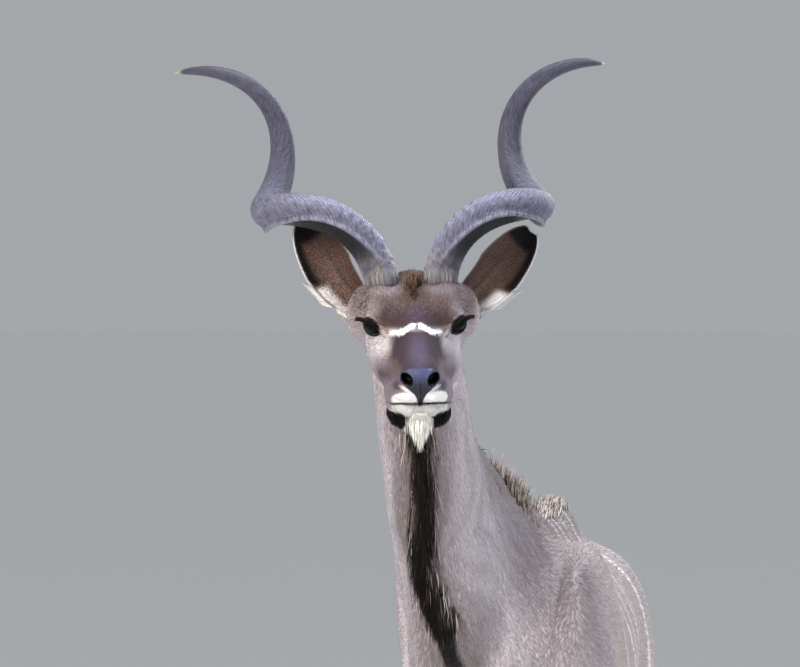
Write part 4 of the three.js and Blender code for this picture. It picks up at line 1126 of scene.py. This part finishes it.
def scatter(mesh, density):
    """Random roots over a mesh, with density in roots per square metre given at each face's middle."""
    mesh.calc_loop_triangles()
    corners = read(mesh.loop_triangles, "vertices", 3, np.int32)
    co = coordinates(mesh)
    a, b, c = (co[corners[:, k]] for k in range(3))
    wanted = np.linalg.norm(np.cross(b - a, c - a), axis=1) / 2 * density(from_frame((a + b + c) / 3))
    count = np.floor(wanted + rng.random(len(wanted))).astype(int)
    chosen = corners[np.repeat(np.arange(len(corners)), count)]
    r1 = np.sqrt(rng.random(len(chosen)))
    r2 = rng.random(len(chosen))
    weights = xyz(1 - r1, r1 * (1 - r2), r1 * r2)[:, :, None]
    normals = unit((normals_of(mesh)[chosen] * weights).sum(1))
    return from_frame((co[chosen] * weights).sum(1)), normals


def varied(colours, spread=0.22):
    tone = 1 + spread * (rng.random((len(colours), 1)) - 0.5) * 2
    grey = colours.mean(1, keepdims=True)
    fade = 0.25 * rng.random((len(colours), 1))
    return np.clip((colours + (grey - colours) * fade) * tone, 0, 1)


def flat_coat(name, skin_mesh, density, length, width, stand):
    """Short hair over the skin, lying along it and standing off it by an angle of about stand."""
    roots, normal = scatter(skin_mesh, density)
    count = len(roots)
    drift = unit(lie_of(roots, normal) + 0.35 * (rng.random((count, 3)) - 0.5))
    drift = along_skin(drift, normal)
    way = unit(drift + normal * np.tan(stand * (0.6 + 0.8 * rng.random((count, 1)))))
    colours = varied(coat_colour(roots))
    size = length(roots) * (0.75 + 0.5 * rng.random(count))
    wide = width * (0.8 + 0.4 * rng.random(count))
    hair_piece(name, roots - normal * 0.4, way, unit(drift + normal * 0.04), normal, size, wide, colours,
               region_of(roots), 1.12, SHORT)


def face_density(p):
    hairy = (region_of(p) == 0) & ~bare_skin(p) & (nostril_share(to_head(p)) > 1.3)
    return hairy * 260000 * (1 - 0.4 * ramp(-150, 40, to_head(p)[:, 1]))


def face_length(p):
    return 4.0 + 5.0 * ramp(-160, 80, to_head(p)[:, 1])


def even(length):
    return lambda p: length


def dress_skin(mesh):
    def torso(p, behind):
        return (region_of(p) == 2) & ((p[:, 1] >= RUMP_START) == behind)

    def legs(p):
        return np.isin(region_of(p), (3, 4, 5, 6)) & (p[:, 2] > HAIRLINE_HEIGHT)

    flat_coat("face_coat", mesh, face_density, face_length, 1.3, 0.4)
    for name in ("neck_coat", "neck_coat_over"):
        flat_coat(name, mesh, lambda p: (region_of(p) == 1) * 90000.0, even(13), 1.9, 0.26)
    flat_coat("body_coat", mesh, lambda p: torso(p, False) * 44000.0, even(15), 2.4, 0.22)
    flat_coat("rump_coat", mesh, lambda p: torso(p, True) * 40000.0, even(15), 2.4, 0.22)
    flat_coat("leg_coat", mesh, lambda p: legs(p) * 60000.0, even(9), 1.8, 0.22)


# Long hair is rooted where a ray from inside the flesh leaves it

STEP = 6.0


def surface_from(inside, ways, depth=3.0):
    """Where each ray from inside comes within depth of the surface."""
    ways = unit(ways)
    near = np.zeros(len(ways))
    far = np.full(len(ways), STEP)
    for _ in range(60):
        out = flesh(inside + ways * column(far)) > -depth
        if out.all():
            break
        near = np.where(out, near, far)
        far = np.where(out, far, far + STEP)
    for _ in range(12):
        middle = (near + far) / 2
        out = flesh(inside + ways * column(middle)) > -depth
        far = np.where(out, middle, far)
        near = np.where(out, near, middle)
    return inside + ways * column(far)


def picked(shares, count):
    """Colours drawn from a table of colour and share."""
    table = np.stack([linear(colour) for colour in shares])
    return table[rng.choice(len(table), count, p=list(shares.values()))]


def sides(count):
    return np.sign(rng.random(count) - 0.5)


def throat_fringe():
    count = 5200
    t = 0.17 + 0.81 * rng.random(count)
    down = unit(between(t + 0.08, NECK_KNOTS, NECK_MARKS) - between(t - 0.08, NECK_KNOTS, NECK_MARKS))
    back = unit(np.array([0, 1.0, 0]) - down * down[:, 1:2])
    across = unit(np.array([-1.0, 0, 0]) + down * down[:, :1])
    lean = rng.normal(0, 0.092, count) * (1.4 - 0.6 * ramp(0.2, 0.45, t))
    turn = column(throat_turn(t))
    aside = across * np.cos(turn) + back * np.sin(turn)
    towards = across * np.sin(turn) - back * np.cos(turn) + aside * column(lean)
    roots = surface_from(between(t, NECK_KNOTS, NECK_MARKS), towards)
    way = unit(unit(towards) * 0.5 + down * 0.9 + random_ways(count, 0.13))
    pull = unit(np.array([0, -0.1, -1.0]) + aside * column(lean) * 0.3 + random_ways(count, 0.09))
    lean = np.abs(lean)
    length = (50 + 46 * np.sin(math.pi * t)) * (0.45 + 0.6 * rng.random(count))
    length = length * (1 - 0.6 * np.minimum(1, lean / 0.4))
    dark = picked({"#100c0b": 0.62, "#1f1714": 0.28, "#33261f": 0.1}, count)
    edge = picked({"#8f7b6d": 0.28, "#b3a7a3": 0.34, "#5a4a41": 0.16, "#d0c8c6": 0.22}, count)
    share = column(ramp(0.10, 0.24, lean + 0.045 * rng.normal(0, 1, count)))
    hair_piece("throat_fringe", roots, way, pull, aside, length, 2.4 + 1.5 * rng.random(count),
               dark + (edge - dark) * share, 1, 1.15)


def jaw_hair():
    """Black hair round the sides of the lower jaw, hanging below it."""
    count = 2400
    side = sides(count)
    inside = from_head(xyz(side * 22, -184 + 58 * rng.random(count), -64))
    tilt = 0.15 + 1.0 * rng.random(count)
    towards = xyz(side * np.sin(tilt), 0, -np.cos(tilt)) @ HEAD_TURN.T
    roots = surface_from(inside, towards, 1.5)
    down = np.array([0, 0.05, -1.0])
    way = unit(towards * 0.45 + down * 0.9 + random_ways(count, 0.1))
    pull = unit(down - column(side) * np.array([0.35, 0, 0]) + random_ways(count, 0.08))
    length = 17 * (0.6 + 0.6 * rng.random(count))
    black = picked({"#0a0808": 0.8, "#161010": 0.2}, count)
    hair_piece("jaw_hair", roots, way, pull, towards, length, 2.2 + 1.2 * rng.random(count), black)


def nape_mane():
    """The mane, rooted along the top line of the neck from the poll to the withers."""
    count = 2600
    t = rng.random(count)
    line = np.array(CREST_LINE)
    turn = column(ramp(0.3, 0.7, t))
    down = unit(unit(line[1] - line[0]) * (1 - turn) + unit(line[2] - line[1]) * turn)
    across = unit(np.array([1.0, 0, 0]) - down * down[:, :1])
    towards = np.cross(across, down) + across * column(rng.normal(0, 0.09, count))
    roots = surface_from(between(t, [0, 0.5, 1], line), towards)
    way = unit(unit(towards) * 0.9 + down * 0.5 + random_ways(count, 0.12))
    pull = unit(down + unit(towards) * 0.25 + random_ways(count, 0.12))
    length = (34 + 34 * t) * (0.6 + 0.5 * rng.random(count))
    colours = picked({"#594b43": 0.3, "#85766b": 0.32, "#a19489": 0.26, "#372c26": 0.12}, count)
    hair_piece("nape_mane", roots, way, pull, across, length, 2.4 + 1.4 * rng.random(count), colours,
               region_of(roots))


def back_crest():
    """The crest along the spine, brown with white hairs behind the withers."""
    count = 2600
    y = -60 + rng.random(count) ** 1.1 * 1110
    x = rng.normal(0, 5, count)
    roots = surface_from(xyz(x * 0.5, y, 1085), xyz(x * 0.012, 0, 1))
    way = unit(np.array([0, 0.75, 0.8]) + random_ways(count, 0.14))
    pull = unit(np.array([0, 1.0, 0.05]) + random_ways(count, 0.12))
    length = (36 + 36 * fall(-60, 220, y)) * (0.6 + 0.5 * rng.random(count))
    brown = picked({"#65574d": 0.32, "#84756a": 0.32, "#3d312a": 0.14, "#a3968b": 0.22}, count)
    white = picked({"#c9c1b8": 0.5, "#a79b90": 0.5}, count)
    pale = column((rng.random(count) < 0.22) & (y > 150))
    hair_piece("back_crest", roots, way, pull, [1.0, 0, 0], length, 3.0 + 2 * rng.random(count),
               np.where(pale, white, brown), 2)


def beard():
    """White hair hanging in a point from the chin, and the short hair that leads down to it."""
    count = 1500
    on_chin = rng.random(count) < 0.42
    y = np.where(on_chin, -200 + 10 * rng.random(count), -204 + 44 * rng.random(count))
    ahead = -0.6 - 2.4 * rng.random(count)
    ahead = np.where(on_chin, ahead, np.where(y < -188, -0.1 - 1.1 * rng.random(count), -0.1))
    low = np.clip((3.0 + ahead) / 2.4, 0, 1)
    x = np.clip(rng.normal(0, 6.4, count) * np.where(on_chin, 2.3 - 1.2 * low, 1.0), -17, 17)
    towards = xyz(x * 0.03, ahead, -1) @ HEAD_TURN.T
    roots = surface_from(from_head(xyz(x * 0.4, y, -52)), towards, 1.5)
    down = np.array([0.0, 0.08, -1.0])
    way = unit(down + towards * 0.4 + random_ways(count, 0.1))
    pull = unit(down - column(np.sign(x)) * np.array([0.12, 0, 0]) + random_ways(count, 0.06))
    length = (60 - 1.6 * np.abs(x) - 0.2 * (y + 206)) * (0.3 + 0.8 * rng.random(count) ** 1.3)
    length = np.where(on_chin, (5 + 15 * low ** 2) * (0.8 + 0.4 * rng.random(count)), np.maximum(length, 9))
    white = picked({"#e9e6e0": 0.6, "#cfc9c0": 0.25, "#b7aea4": 0.15}, count)
    white = np.where(column(on_chin), 0.5 * white + 0.5 * linear("#cdc9c6"), white)
    thick = np.where(on_chin, 0.8, 1.7) + np.where(on_chin, 0.5, 1.2) * rng.random(count)
    hair_piece("beard", roots, way, pull, [0, -1.0, 0], length, thick, white, 0, 1.0)


def forelock():
    """A tall tuft between the horns and a lower one before it."""
    count = 520
    tall = rng.random(count) < 0.55
    y = np.where(tall, rng.normal(66, 5, count), rng.normal(36, 8, count))
    x = rng.normal(0, 4.4, count) * np.where(tall, 1, 0.5)
    towards = xyz(x * 0.01, 0, 1) @ HEAD_TURN.T
    roots = surface_from(from_head(xyz(x * 0.6, y, 0)), towards, 1.5)
    forward = np.array([0, -1.0, 0.1]) @ HEAD_TURN.T
    way = unit(unit(towards) + random_ways(count, 0.26))
    pull = unit(np.where(column(tall), np.array([0, -0.1, 1.0]), forward) + random_ways(count, 0.3))
    length = np.maximum(np.where(tall, 27, 12) * (0.4 + 0.7 * rng.random(count)), 7)
    brown = picked({"#523f33": 0.5, "#6c5646": 0.3, "#3b2c23": 0.2}, count)
    hair_piece("forelock", roots, way, pull, [0, -1.0, 0], length, 1.8 + 1.4 * rng.random(count), brown,
               0, 1.15)


def temple_fur():
    """Longer pale fur over the roots of the ears, lying out and back."""
    count = 2600
    side = sides(count)
    h = xyz(side * (70 + 38 * rng.random(count)), 52 + 52 * rng.random(count), -50 + 74 * rng.random(count))
    middle = xyz(side * 66, 84, -16)
    keep = (h - middle)[:, 1] < 12
    towards = unit(((h - middle) @ HEAD_TURN.T)[keep])
    side = side[keep]
    count = len(side)
    roots = surface_from(from_head(middle)[keep], towards, 1.5)
    lie = along_skin(xyz(side * 0.9, 0.45, -0.25) @ LEVEL_TURN.T, towards)
    high = ramp(-44, -2, to_head(roots)[:, 2])
    way = unit(lie + towards * column(0.2 + 0.15 * high) + random_ways(count, 0.1))
    pull = unit(lie + towards * column(0.1 * high) + random_ways(count, 0.08))
    colours = varied(coat_colour(roots), 0.12)
    share = column(ramp(94, 112, np.abs(to_head(roots)[:, 0])) * (0.2 + 0.4 * high))
    length = (7 + 5 * high) * (0.7 + 0.5 * rng.random(count))
    hair_piece("temple_fur", roots, way, pull, towards, length, 1.4 + 0.7 * rng.random(count),
               colours + (linear("#e4ddd8") - colours) * share, shape=MEDIUM)


def tail_tuft():
    count = 700
    marks = np.array(TAIL_LINE[1:], float)
    t = rng.random(count)
    turn = rng.random(count) * FULL_TURN
    out = xyz(np.cos(turn), np.sin(turn), -0.5)
    roots = between(215 * t - 900, -marks[:, 2], marks) + unit(out) * 6
    way = unit(out * 0.5 + np.array([0, 0, -1.0]))
    pull = unit(out * 0.1 + np.array([0, 0, -1.0]) + random_ways(count, 0.06))
    length = (60 + 45 * t) * (0.7 + 0.35 * rng.random(count))
    black = picked({"#15100e": 0.7, "#2c221c": 0.3}, count)
    brown = picked({"#6f5c4e": 0.5, "#d8d0c6": 0.5}, count)
    hair_piece("tail_tuft", roots, way, pull, out, length, 3.2 + 1.6 * rng.random(count),
               np.where(column(t < 0.35), brown, black), 7)


# Ears

EAR_BASE = np.array([94.0, 92.0, 14.0])
EAR_OPENING = np.array([0.34, -0.84, 0.2])
EAR_RISE = {1: np.array([0.58, 0.46, 0.67]), -1: np.array([0.4, 0.46, 0.78])}
EAR_CUP = 34
EAR_WALL = 2.3
EAR_ROOT = 26
EAR_WRAP = 12


def ear_axes(side):
    rise = unit(EAR_RISE[side])
    back = unit(rise * (EAR_OPENING @ rise) - EAR_OPENING)
    return np.stack([np.cross(back, rise), back, rise])


def from_ear_or_horn(points, side):
    return points * [side, 1, 1] @ HORN_TURN.T + EYE_PLACE


def ear_point(side, across, height, through):
    """A point of the ear from its place across (-1 to 1, +1 outer edge), height and wall side (-1 inside)."""
    along = np.maximum(0, height) / EAR_LENGTH
    narrowing = np.sqrt(np.maximum(0, 1 - np.maximum(0, (along - 0.42) / 0.6) ** 2.3))
    root = ramp(-0.14, 0.3, height / EAR_LENGTH)
    width = EAR_WIDTH * np.minimum(1, 0.5 + 0.95 * along) * narrowing * (0.55 + 0.45 * root)
    cup = EAR_CUP * (1 - 0.8 * along) * (1 - across ** 2)
    wall = EAR_WALL * (1.3 - 0.6 * along) * through
    wrap = EAR_WRAP * fall(0.05, 0.5, along) * (1 - across) / 2
    local = xyz(across * width / 2 - 9 * (1 - root) - wrap, cup + wall - 14 * along ** 2, height)
    return from_ear_or_horn(local @ ear_axes(side) + EAR_BASE, side)


def ear_colour(across, along, inside):
    def streak(aside, height, wide, high, soft):
        return blob(across, along, (aside, height), (wide, high), soft)

    dark = ramp(0.5, 0.8, across + 0.5 * np.maximum(0, along - 0.72)) * ramp(0.42, 0.5, along)
    pale = ramp(0.36, 0.72, across + 0.5 * np.maximum(0, 0.2 - along)) * fall(0.38, 0.46, along)
    return lay(ground("#9a8f8c", len(across)),
               ("#4f3b34", inside),
               ("#735b51", inside * streak(0.1, 0.3, 0.55, 0.28, 0.7) * 0.75),
               ("#3c2c28", inside * streak(-0.25, 0.42, 0.09, 0.32, 0.8) * 0.6),
               ("#0d0909", inside * np.maximum(dark, ramp(0.8, 0.88, along))),
               ("#eae5e2", inside * pale),
               ("#ddd6d2", ramp(0.93, 0.98, across) * ramp(0.1, 0.2, along) * 0.9),
               ("#8b7b75", ramp(0.93, 0.98, -across) * 0.8),
               ("#eae5e2", fall(0.0, 0.12, along) * inside * 0.8))


def ear_sheet(side, angle, along):
    """Place on the unwrap, beside the tiles of the skin."""
    left = 0.62 if side > 0 else 0.81
    return np.stack([left + 0.17 * (angle / FULL_TURN + 0.5), 0.21 + 0.38 * along], 1)


def build_ear(side, word):
    def place(t, angle, pole):
        height = np.where(pole & (t > 0.5), EAR_LENGTH + 1.5, (EAR_LENGTH + EAR_ROOT) * t - EAR_ROOT)
        return ear_point(side, np.where(pole, 0, np.cos(angle)), height, np.where(pole, 0, np.sin(angle)))

    mesh, t, angle = placed("ear_shell_" + word, 56, 64, place)
    along = np.clip(((EAR_LENGTH + EAR_ROOT) * t - EAR_ROOT) / EAR_LENGTH, 0, 1)
    across = np.cos(angle)
    paint(mesh, ear_colour(across, along, (np.sin(angle) < 0).astype(float)))
    put_uv(mesh, "OFBake", ear_sheet(side, angle, along))
    put_uv(mesh, "lie", np.stack([across * 0.045, along * 0.2], 1))
    new_piece("ear_shell_" + word, mesh, COAT, ["ear_" + word])


def ear_hair(side, word):
    """Short hair on both faces of the ear, and a longer white fringe on the lower outer edge."""
    count = 15000
    across = rng.random(count) * 2 - 1
    along = rng.random(count) ** 0.9
    inside = rng.random(count) < 0.62
    edge = rng.random(count) < 0.38
    across = np.where(edge, np.sign(across) * (0.93 + 0.07 * rng.random(count)), across)
    through = np.where(inside, -1.0, 1.0) * np.sqrt(np.maximum(0.0, 1 - across ** 2))
    height = along * EAR_LENGTH * 0.985
    roots = ear_point(side, across, height, through)
    rise = unit(ear_point(side, across, height + 3, through) - roots)
    beside = ear_point(side, np.clip(across + 0.02, -1, 1.02), height, through)
    below = ear_point(side, np.clip(across - 0.02, -1.02, 1), height, through)
    normal = unit(np.cross(rise, unit(beside - below)))
    inward = ear_point(side, across, height, through - 1) - roots
    normal *= -column(np.sign((normal * inward).sum(1)))
    outward = unit(ear_point(side, across * 1.05, height, through) - roots)
    fringe = edge & (along < 0.46) & (across > 0)
    low = np.where(fringe, fall(0.1, 0.26, along), 0)
    rise = unit(rise - 1.7 * rise * column(low))
    loose = 0.3 * (rng.random((count, 3)) - 0.5)
    way = unit(rise + 0.3 * normal + loose + outward * column(np.where(fringe, 0.9, 0.25)))
    pull = unit(rise + 0.05 * normal + outward * column(np.where(fringe, 0.8, 0.2)))
    length = np.where(fringe, 17 + 10 * low, np.where(edge, 6, 6.5)) * (0.6 + 0.7 * rng.random(count))
    colours = varied(ear_colour(across, along, (inside | edge).astype(float)), 0.09)
    angle = np.arccos(np.clip(across, -1, 1)) * np.where(inside, -1, 1)
    hair_piece("ear_hair_" + word, roots, way, pull, normal, length, 1.5 + 0.8 * rng.random(count), colours,
               shape=SHORT, sheet=ear_sheet(side, angle, along))


# Horns: an open screw about a leaning axis, with a keel

HORN_LENGTH = 641
HORN_RECLINE = math.radians(36)
HORN_SPREAD = math.radians(28.4)
HORN_START = math.radians(168.4)
HORN_TWIST = math.radians(544)
HORN_TURN_EASE = -0.078
HORN_LENGTH_EASE = 0.057
HORN_SCREW_RADII = (35, 78, 49.5, 51)
KEEL_TURN = math.radians(36)
HORN_ROOT_DEPTH = 22.0
HORN_OUT = np.array([math.cos(HORN_SPREAD), -math.sin(HORN_SPREAD), 0])
HORN_AXIS = np.array([math.cos(HORN_RECLINE) * math.sin(HORN_SPREAD),
                      math.cos(HORN_RECLINE) * math.cos(HORN_SPREAD), math.sin(HORN_RECLINE)])
HORN_RISE = np.cross(HORN_OUT, HORN_AXIS)


def horn_radial(t):
    phase = column(HORN_START - HORN_TWIST * (t + HORN_TURN_EASE * t * (1 - t)))
    return HORN_OUT * np.cos(phase) + HORN_RISE * np.sin(phase)


def horn_line(t):
    r0, r1, r2, r3 = HORN_SCREW_RADII
    s = 1 - t
    radius = r0 * s ** 3 + 3 * r1 * t * s * s + 3 * r2 * t * t * s + r3 * t ** 3
    climb = HORN_LENGTH * (t + HORN_LENGTH_EASE * t * s)
    start = horn_radial(np.zeros(1))[0] * r0
    return np.array(HORN_ROOT) + HORN_AXIS * column(climb) + horn_radial(t) * column(radius) - start


def off_keel(t, angle):
    """Angle round the horn from its keel, which leaves the front of the base for the lower edge."""
    return wrapped(angle - KEEL_TURN * ramp(0.02, 0.24, t))


def horn_relief(t, angle):
    """Share added by the growth ridges near the base and by the finer lines higher up."""
    wave = t * 250 + 1.6 * np.sin(angle * 2) + 2.1 * np.sin(t * 41)
    ridges = (np.sin(wave) + 0.45 * np.sin(2 * wave)) * hill(angle - 1.7, 0.75)
    fine = np.sin(t * 330 + 5.0 * angle + 1.5 * np.sin(t * 60))
    fine = fine + 0.6 * np.sin(t * 470 + 8 * angle + 2 * np.sin(3 * angle))
    return (0.045 * ridges * fall(0.12, 0.3, t) + 0.007 * fine * fall(0.4, 0.62, t)) * ramp(0.0, 0.03, t)


def build_horn(side, word):
    def place(t, angle, pole):
        way = unit(horn_line(np.minimum(1, t + 0.01)) - horn_line(np.maximum(0, t - 0.01)))
        out = along_skin(horn_radial(t), way)
        off = off_keel(t, angle)
        keel = 0.12 * hill(off, 0.5) + 0.25 * hill(off, 0.12)
        groove = 0.26 * hill(off + 0.6, 0.42) + 0.06 * hill(off - 0.36, 0.17)
        fade = np.clip((0.62 - t) / 0.2, 0, 1) * np.minimum(1, t / 0.05 + 0.3)
        size = np.maximum(1.4, HORN_BASE_RADIUS * (1 - t ** 2.2) ** 0.8) * (1 + fade * (keel - groove))
        size = np.where(pole, 0, size * (1 + horn_relief(t, angle)))
        point = horn_line(t) + np.cross(way, out) * column(np.cos(angle) * size)
        point = point + out * column(np.sin(angle) * size * 0.94)
        ends = np.where(t < 1e-6, -HORN_ROOT_DEPTH, np.where(pole & (t > 0.5), 3.0, 0.0))
        return from_ear_or_horn(point + way * column(ends), side)

    mesh, t, angle = placed("horn_sheath_" + word, 96, 440, place)
    off = off_keel(t, angle)
    keeled = fall(0.45, 0.62, t)
    under = ramp(-1.5, -1.2, off) * fall(-0.13, -0.04, off)
    patchy = 0.5 + 0.5 * np.sin(angle * 3 + 40 * t) * np.sin(angle * 2 - 90 * t)
    paint(mesh, lay(ground("#585769", len(t)),
                    # painted shade on the face under the keel
                    ("#060505", under * keeled * (0.62 + 0.38 * ramp(0.03, 0.12, t))),
                    # painted highlight along the edge of the keel
                    ("#82808f", hill(off - 0.02, 0.1) * keeled * ramp(0.03, 0.12, t) * 0.6),
                    # painted highlight: a broad lighter bluish band round the horn, bluish like a reflection
                    # of the sky
                    ("#8b8ba2", hill(off - 1.35, 0.6) * keeled * (1 - 0.6 * ramp(0.22, 0.32, t)) * 0.6),
                    ("#99928f", fall(0.01, 0.085, t) * (0.12 + 0.5 * patchy)),
                    ("#3c3a47", ramp(0.42, 0.75, t) * fall(0.93, 0.97, t) * 0.6),
                    ("#d9d0b8", ramp(0.955, 0.985, t))))
    put_uv(mesh, "lie", np.stack([angle * 0.03, t * 0.95], 1))
    new_piece("horn_sheath_" + word, mesh, HORN, ["horn_" + word])


# Eyes, lid rims and lashes

def build_eyeball(side, word):
    def place(t, angle, pole):
        polar = np.where(pole, np.where(t > 0.5, 0, math.pi), math.pi * (1 - (t * 0.98 + 0.01)))
        bulge = EYE_RADIUS - 0.4 + 1.0 * fall(0.35, 0.62, polar)
        across = TAILWARD * column(np.cos(angle)) + UPWARD * column(np.sin(angle))
        local = (GAZE * column(np.cos(polar)) + across * column(np.sin(polar))) * column(bulge) + EYE_CENTRE
        return from_head(local * [side, 1, 1])

    mesh, t, angle = placed("eyeball_" + word, 72, 72, place)
    away = np.sin(math.pi * (1 - (t * 0.98 + 0.01)))
    pupil = np.hypot(away * np.cos(angle) / 0.4, away * np.sin(angle) / 0.2)
    paint(mesh, lay(ground("#070504", len(t)),
                    ("#0e0806", fall(0.5, 0.62, away)),
                    ("#050406", fall(0.9, 1.1, pupil)),
                    ("#060404", ramp(0.6, 0.68, away))))
    new_piece("eyeball_" + word, mesh, EYE, ["eye_" + word])


def slit_point(turn, reach):
    """A point of the opening's edge at a distance from the eye's centre, and its way out."""
    x = (SLIT_HALF_WIDTH + 0.3) * np.cos(turn)
    y = (SLIT_HALF_HEIGHT + 0.3) * np.sin(turn)
    u, v = spun(x, y, -SLIT_SLANT)
    v = v - SLIT_DROP
    depth = np.sqrt(np.maximum(reach ** 2 - u ** 2 - v ** 2, 4))
    out = TAILWARD * column(u) + UPWARD * column(v) + GAZE * column(depth)
    return EYE_CENTRE + out, unit(out)


def build_lids(side, word):
    def rim(t, angle, pole):
        turn = np.mod(t * FULL_TURN, FULL_TURN)
        middle, ray = slit_point(turn, EYE_RADIUS + 1.4)
        outward = unit(middle - (EYE_CENTRE + GAZE * 16))
        thick = column(1.1 + np.maximum(0, np.sin(turn)))
        point = middle + ray * column(np.cos(angle)) * thick + outward * column(np.sin(angle)) * thick
        return from_head(point * [side, 1, 1])

    mesh, t, _ = placed("lid_rim_" + word, 12, 100, rim)
    paint(mesh, ground("#050405", len(t)))
    new_piece("lid_rim_" + word, mesh, NOSE)

    count = 1700
    turn = math.pi * (0.07 + 0.75 * rng.random(count))
    roots, ray = slit_point(turn, EYE_RADIUS + 1.8)
    roots = roots + np.array([0, 0, 1.0]) * (4.2 * rng.random((count, 1)))
    outer = column(ramp(-0.1, 0.9, np.cos(turn)))
    outward = unit(roots - (EYE_CENTRE + GAZE * 8))
    way = unit(outward * 0.7 + GAZE * 0.7 + TAILWARD * 0.9 * outer + random_ways(count, 0.1))
    pull = GAZE * 0.5 + TAILWARD * (0.3 + 0.8 * outer) + np.array([0, 0, -0.3])
    pull = unit(pull + random_ways(count, 0.07))
    way, pull, ray = (vectors * [side, 1, 1] @ HEAD_TURN.T for vectors in (way, pull, ray))
    length = 6.5 + 7.5 * outer[:, 0] + 3 * rng.random(count)
    hair_piece("lashes_" + word, from_head(roots * [side, 1, 1]), way, pull, ray, length,
               1.5 + 0.6 * rng.random(count), ground("#080606", count), tip_tone=1.0, shape=MEDIUM)


# Hooves and dewclaws fill their CAD boxes

def build_hoof(node):
    low, high = box_of(node)
    middle = (low + high) / 2
    half = (high - low) / 2
    outer = 1 if node.endswith("a") else -1

    def place(t, angle, pole):
        fore = -np.cos(angle)
        wide = np.sin(angle)
        grow = 1 - 0.2 * ramp(0.0, 0.9, t)
        taper = 1 - 0.42 * np.maximum(0, -fore) ** 2 - 0.12 * np.maximum(0, fore)
        y = middle[1] + fore * half[1] * grow + t * 5 - 2
        x = middle[0] + wide * half[0] * taper * grow * np.where(wide * outer < 0, 0.86, 1.0) * 1.04
        top = high[2] - (y - low[1]) * math.tan(math.radians(17)) * 0.98
        z = np.where(pole & (t < 0.5), low[2], low[2] + (top - low[2]) * t)
        return xyz(np.where(pole, middle[0], x), np.where(pole, middle[1], y), z) - SHIFT

    new_piece("horny_" + node, placed(node, 36, 22, place)[0], HOOF, [node])


def build_dewclaw(node):
    low, high = box_of(node)
    middle = (low + high) / 2
    half_wide = (high[0] - low[0]) / 2 * 0.9

    def place(t, angle, pole):
        taper = np.where(pole, 0, np.sqrt(1 - 0.6 * t ** 2))
        x = middle[0] + np.cos(angle) * taper * half_wide
        y = high[1] - 11 + 2 * t + np.sin(angle) * taper * 8
        return xyz(x, y, high[2] - (high[2] - low[2]) * t) - SHIFT

    new_piece("horny_" + node, placed(node, 20, 14, place)[0], HOOF, [node])


# Build

dress_skin(build_skin())
for hair in (throat_fringe, jaw_hair, nape_mane, back_crest, beard, forelock, temple_fur, tail_tuft):
    hair()
for side, word in ((1, "left"), (-1, "right")):
    for build in (build_ear, ear_hair, build_horn, build_eyeball, build_lids):
        build(side, word)
for place in FEET:
    for claw in "ab":
        build_hoof(f"hoof_{place}_{claw}")
        build_dewclaw(f"dewclaw_{place}_{claw}")


# Floor, light and camera

CAMERA_AZIMUTH = math.radians(5)
CAMERA_DOWN = math.radians(1.5)
CAMERA_DISTANCE = 20
CAMERA_LENS = 529.4
SENSOR_WIDTH = 36
# How far the photo's middle lies left of and below the eyes, in metres
CAMERA_LEFT = 0.0255
CAMERA_BELOW = 0.01445
LAMPS = {"key": ((-2.8, -4.2, 4.6), 1.8, 430, "#fff8f0"), "fill": ((4.0, -3.4, 2.6), 3.0, 120, "#e6eeff"),
         "top": ((0.6, 0.8, 5.4), 3.0, 280, "#eef2ff"), "rear": ((2.2, 4.6, 3.4), 2.6, 140, "#f6f8ff")}


def studio():
    mesh = bpy.data.meshes.new("floor")
    edit(mesh, lambda bm: bmesh.ops.create_circle(bm, cap_ends=True, segments=96, radius=60))
    floor = stood("floor", mesh)
    material, tree = fresh("pale matt floor")
    shader = add(tree, "BsdfPrincipled", {"Base Color": (*linear("#fdfdfc"), 1), "Roughness": 0.9})
    add(tree, "OutputMaterial", links={"Surface": shader})
    mesh.materials.append(material)
    world = bpy.data.worlds.new("studio air")
    world.use_nodes = True
    bpy.context.scene.world = world
    background = world.node_tree.nodes["Background"]
    background.inputs["Color"].default_value = (*linear("#dfe3e8"), 1)
    background.inputs["Strength"].default_value = 0.5
    bpy.context.scene.view_settings.view_transform = "Standard"
    for name, (place, size, watts, tint) in LAMPS.items():
        light = bpy.data.lights.new(name, "AREA")
        light.size = size
        light.energy = watts
        light.color = linear(tint)
        lamp = stood(name, light)
        lamp.location = place
        lamp.rotation_euler = (Vector((0, -0.3, 1.35)) - Vector(place)).to_track_quat("-Z", "Y").to_euler()


def camera():
    right = np.array([math.cos(CAMERA_AZIMUTH), math.sin(CAMERA_AZIMUTH), 0])
    ahead = np.cross([0, 0, 1], right)
    forward = ahead * math.cos(CAMERA_DOWN) - np.array([0, 0, math.sin(CAMERA_DOWN)])
    up = np.cross(right, forward)
    place = to_frame(EYE_PLACE) - forward * CAMERA_DISTANCE - right * CAMERA_LEFT - up * CAMERA_BELOW
    lens = bpy.data.cameras.new("camera")
    lens.lens = CAMERA_LENS
    lens.sensor_width = SENSOR_WIDTH
    lens.clip_end = 200
    holder = stood("camera", lens)
    holder.matrix_world = Matrix.Translation(place) @ Matrix((right, up, -forward)).transposed().to_4x4()
    bpy.context.scene.camera = holder


studio()
camera()
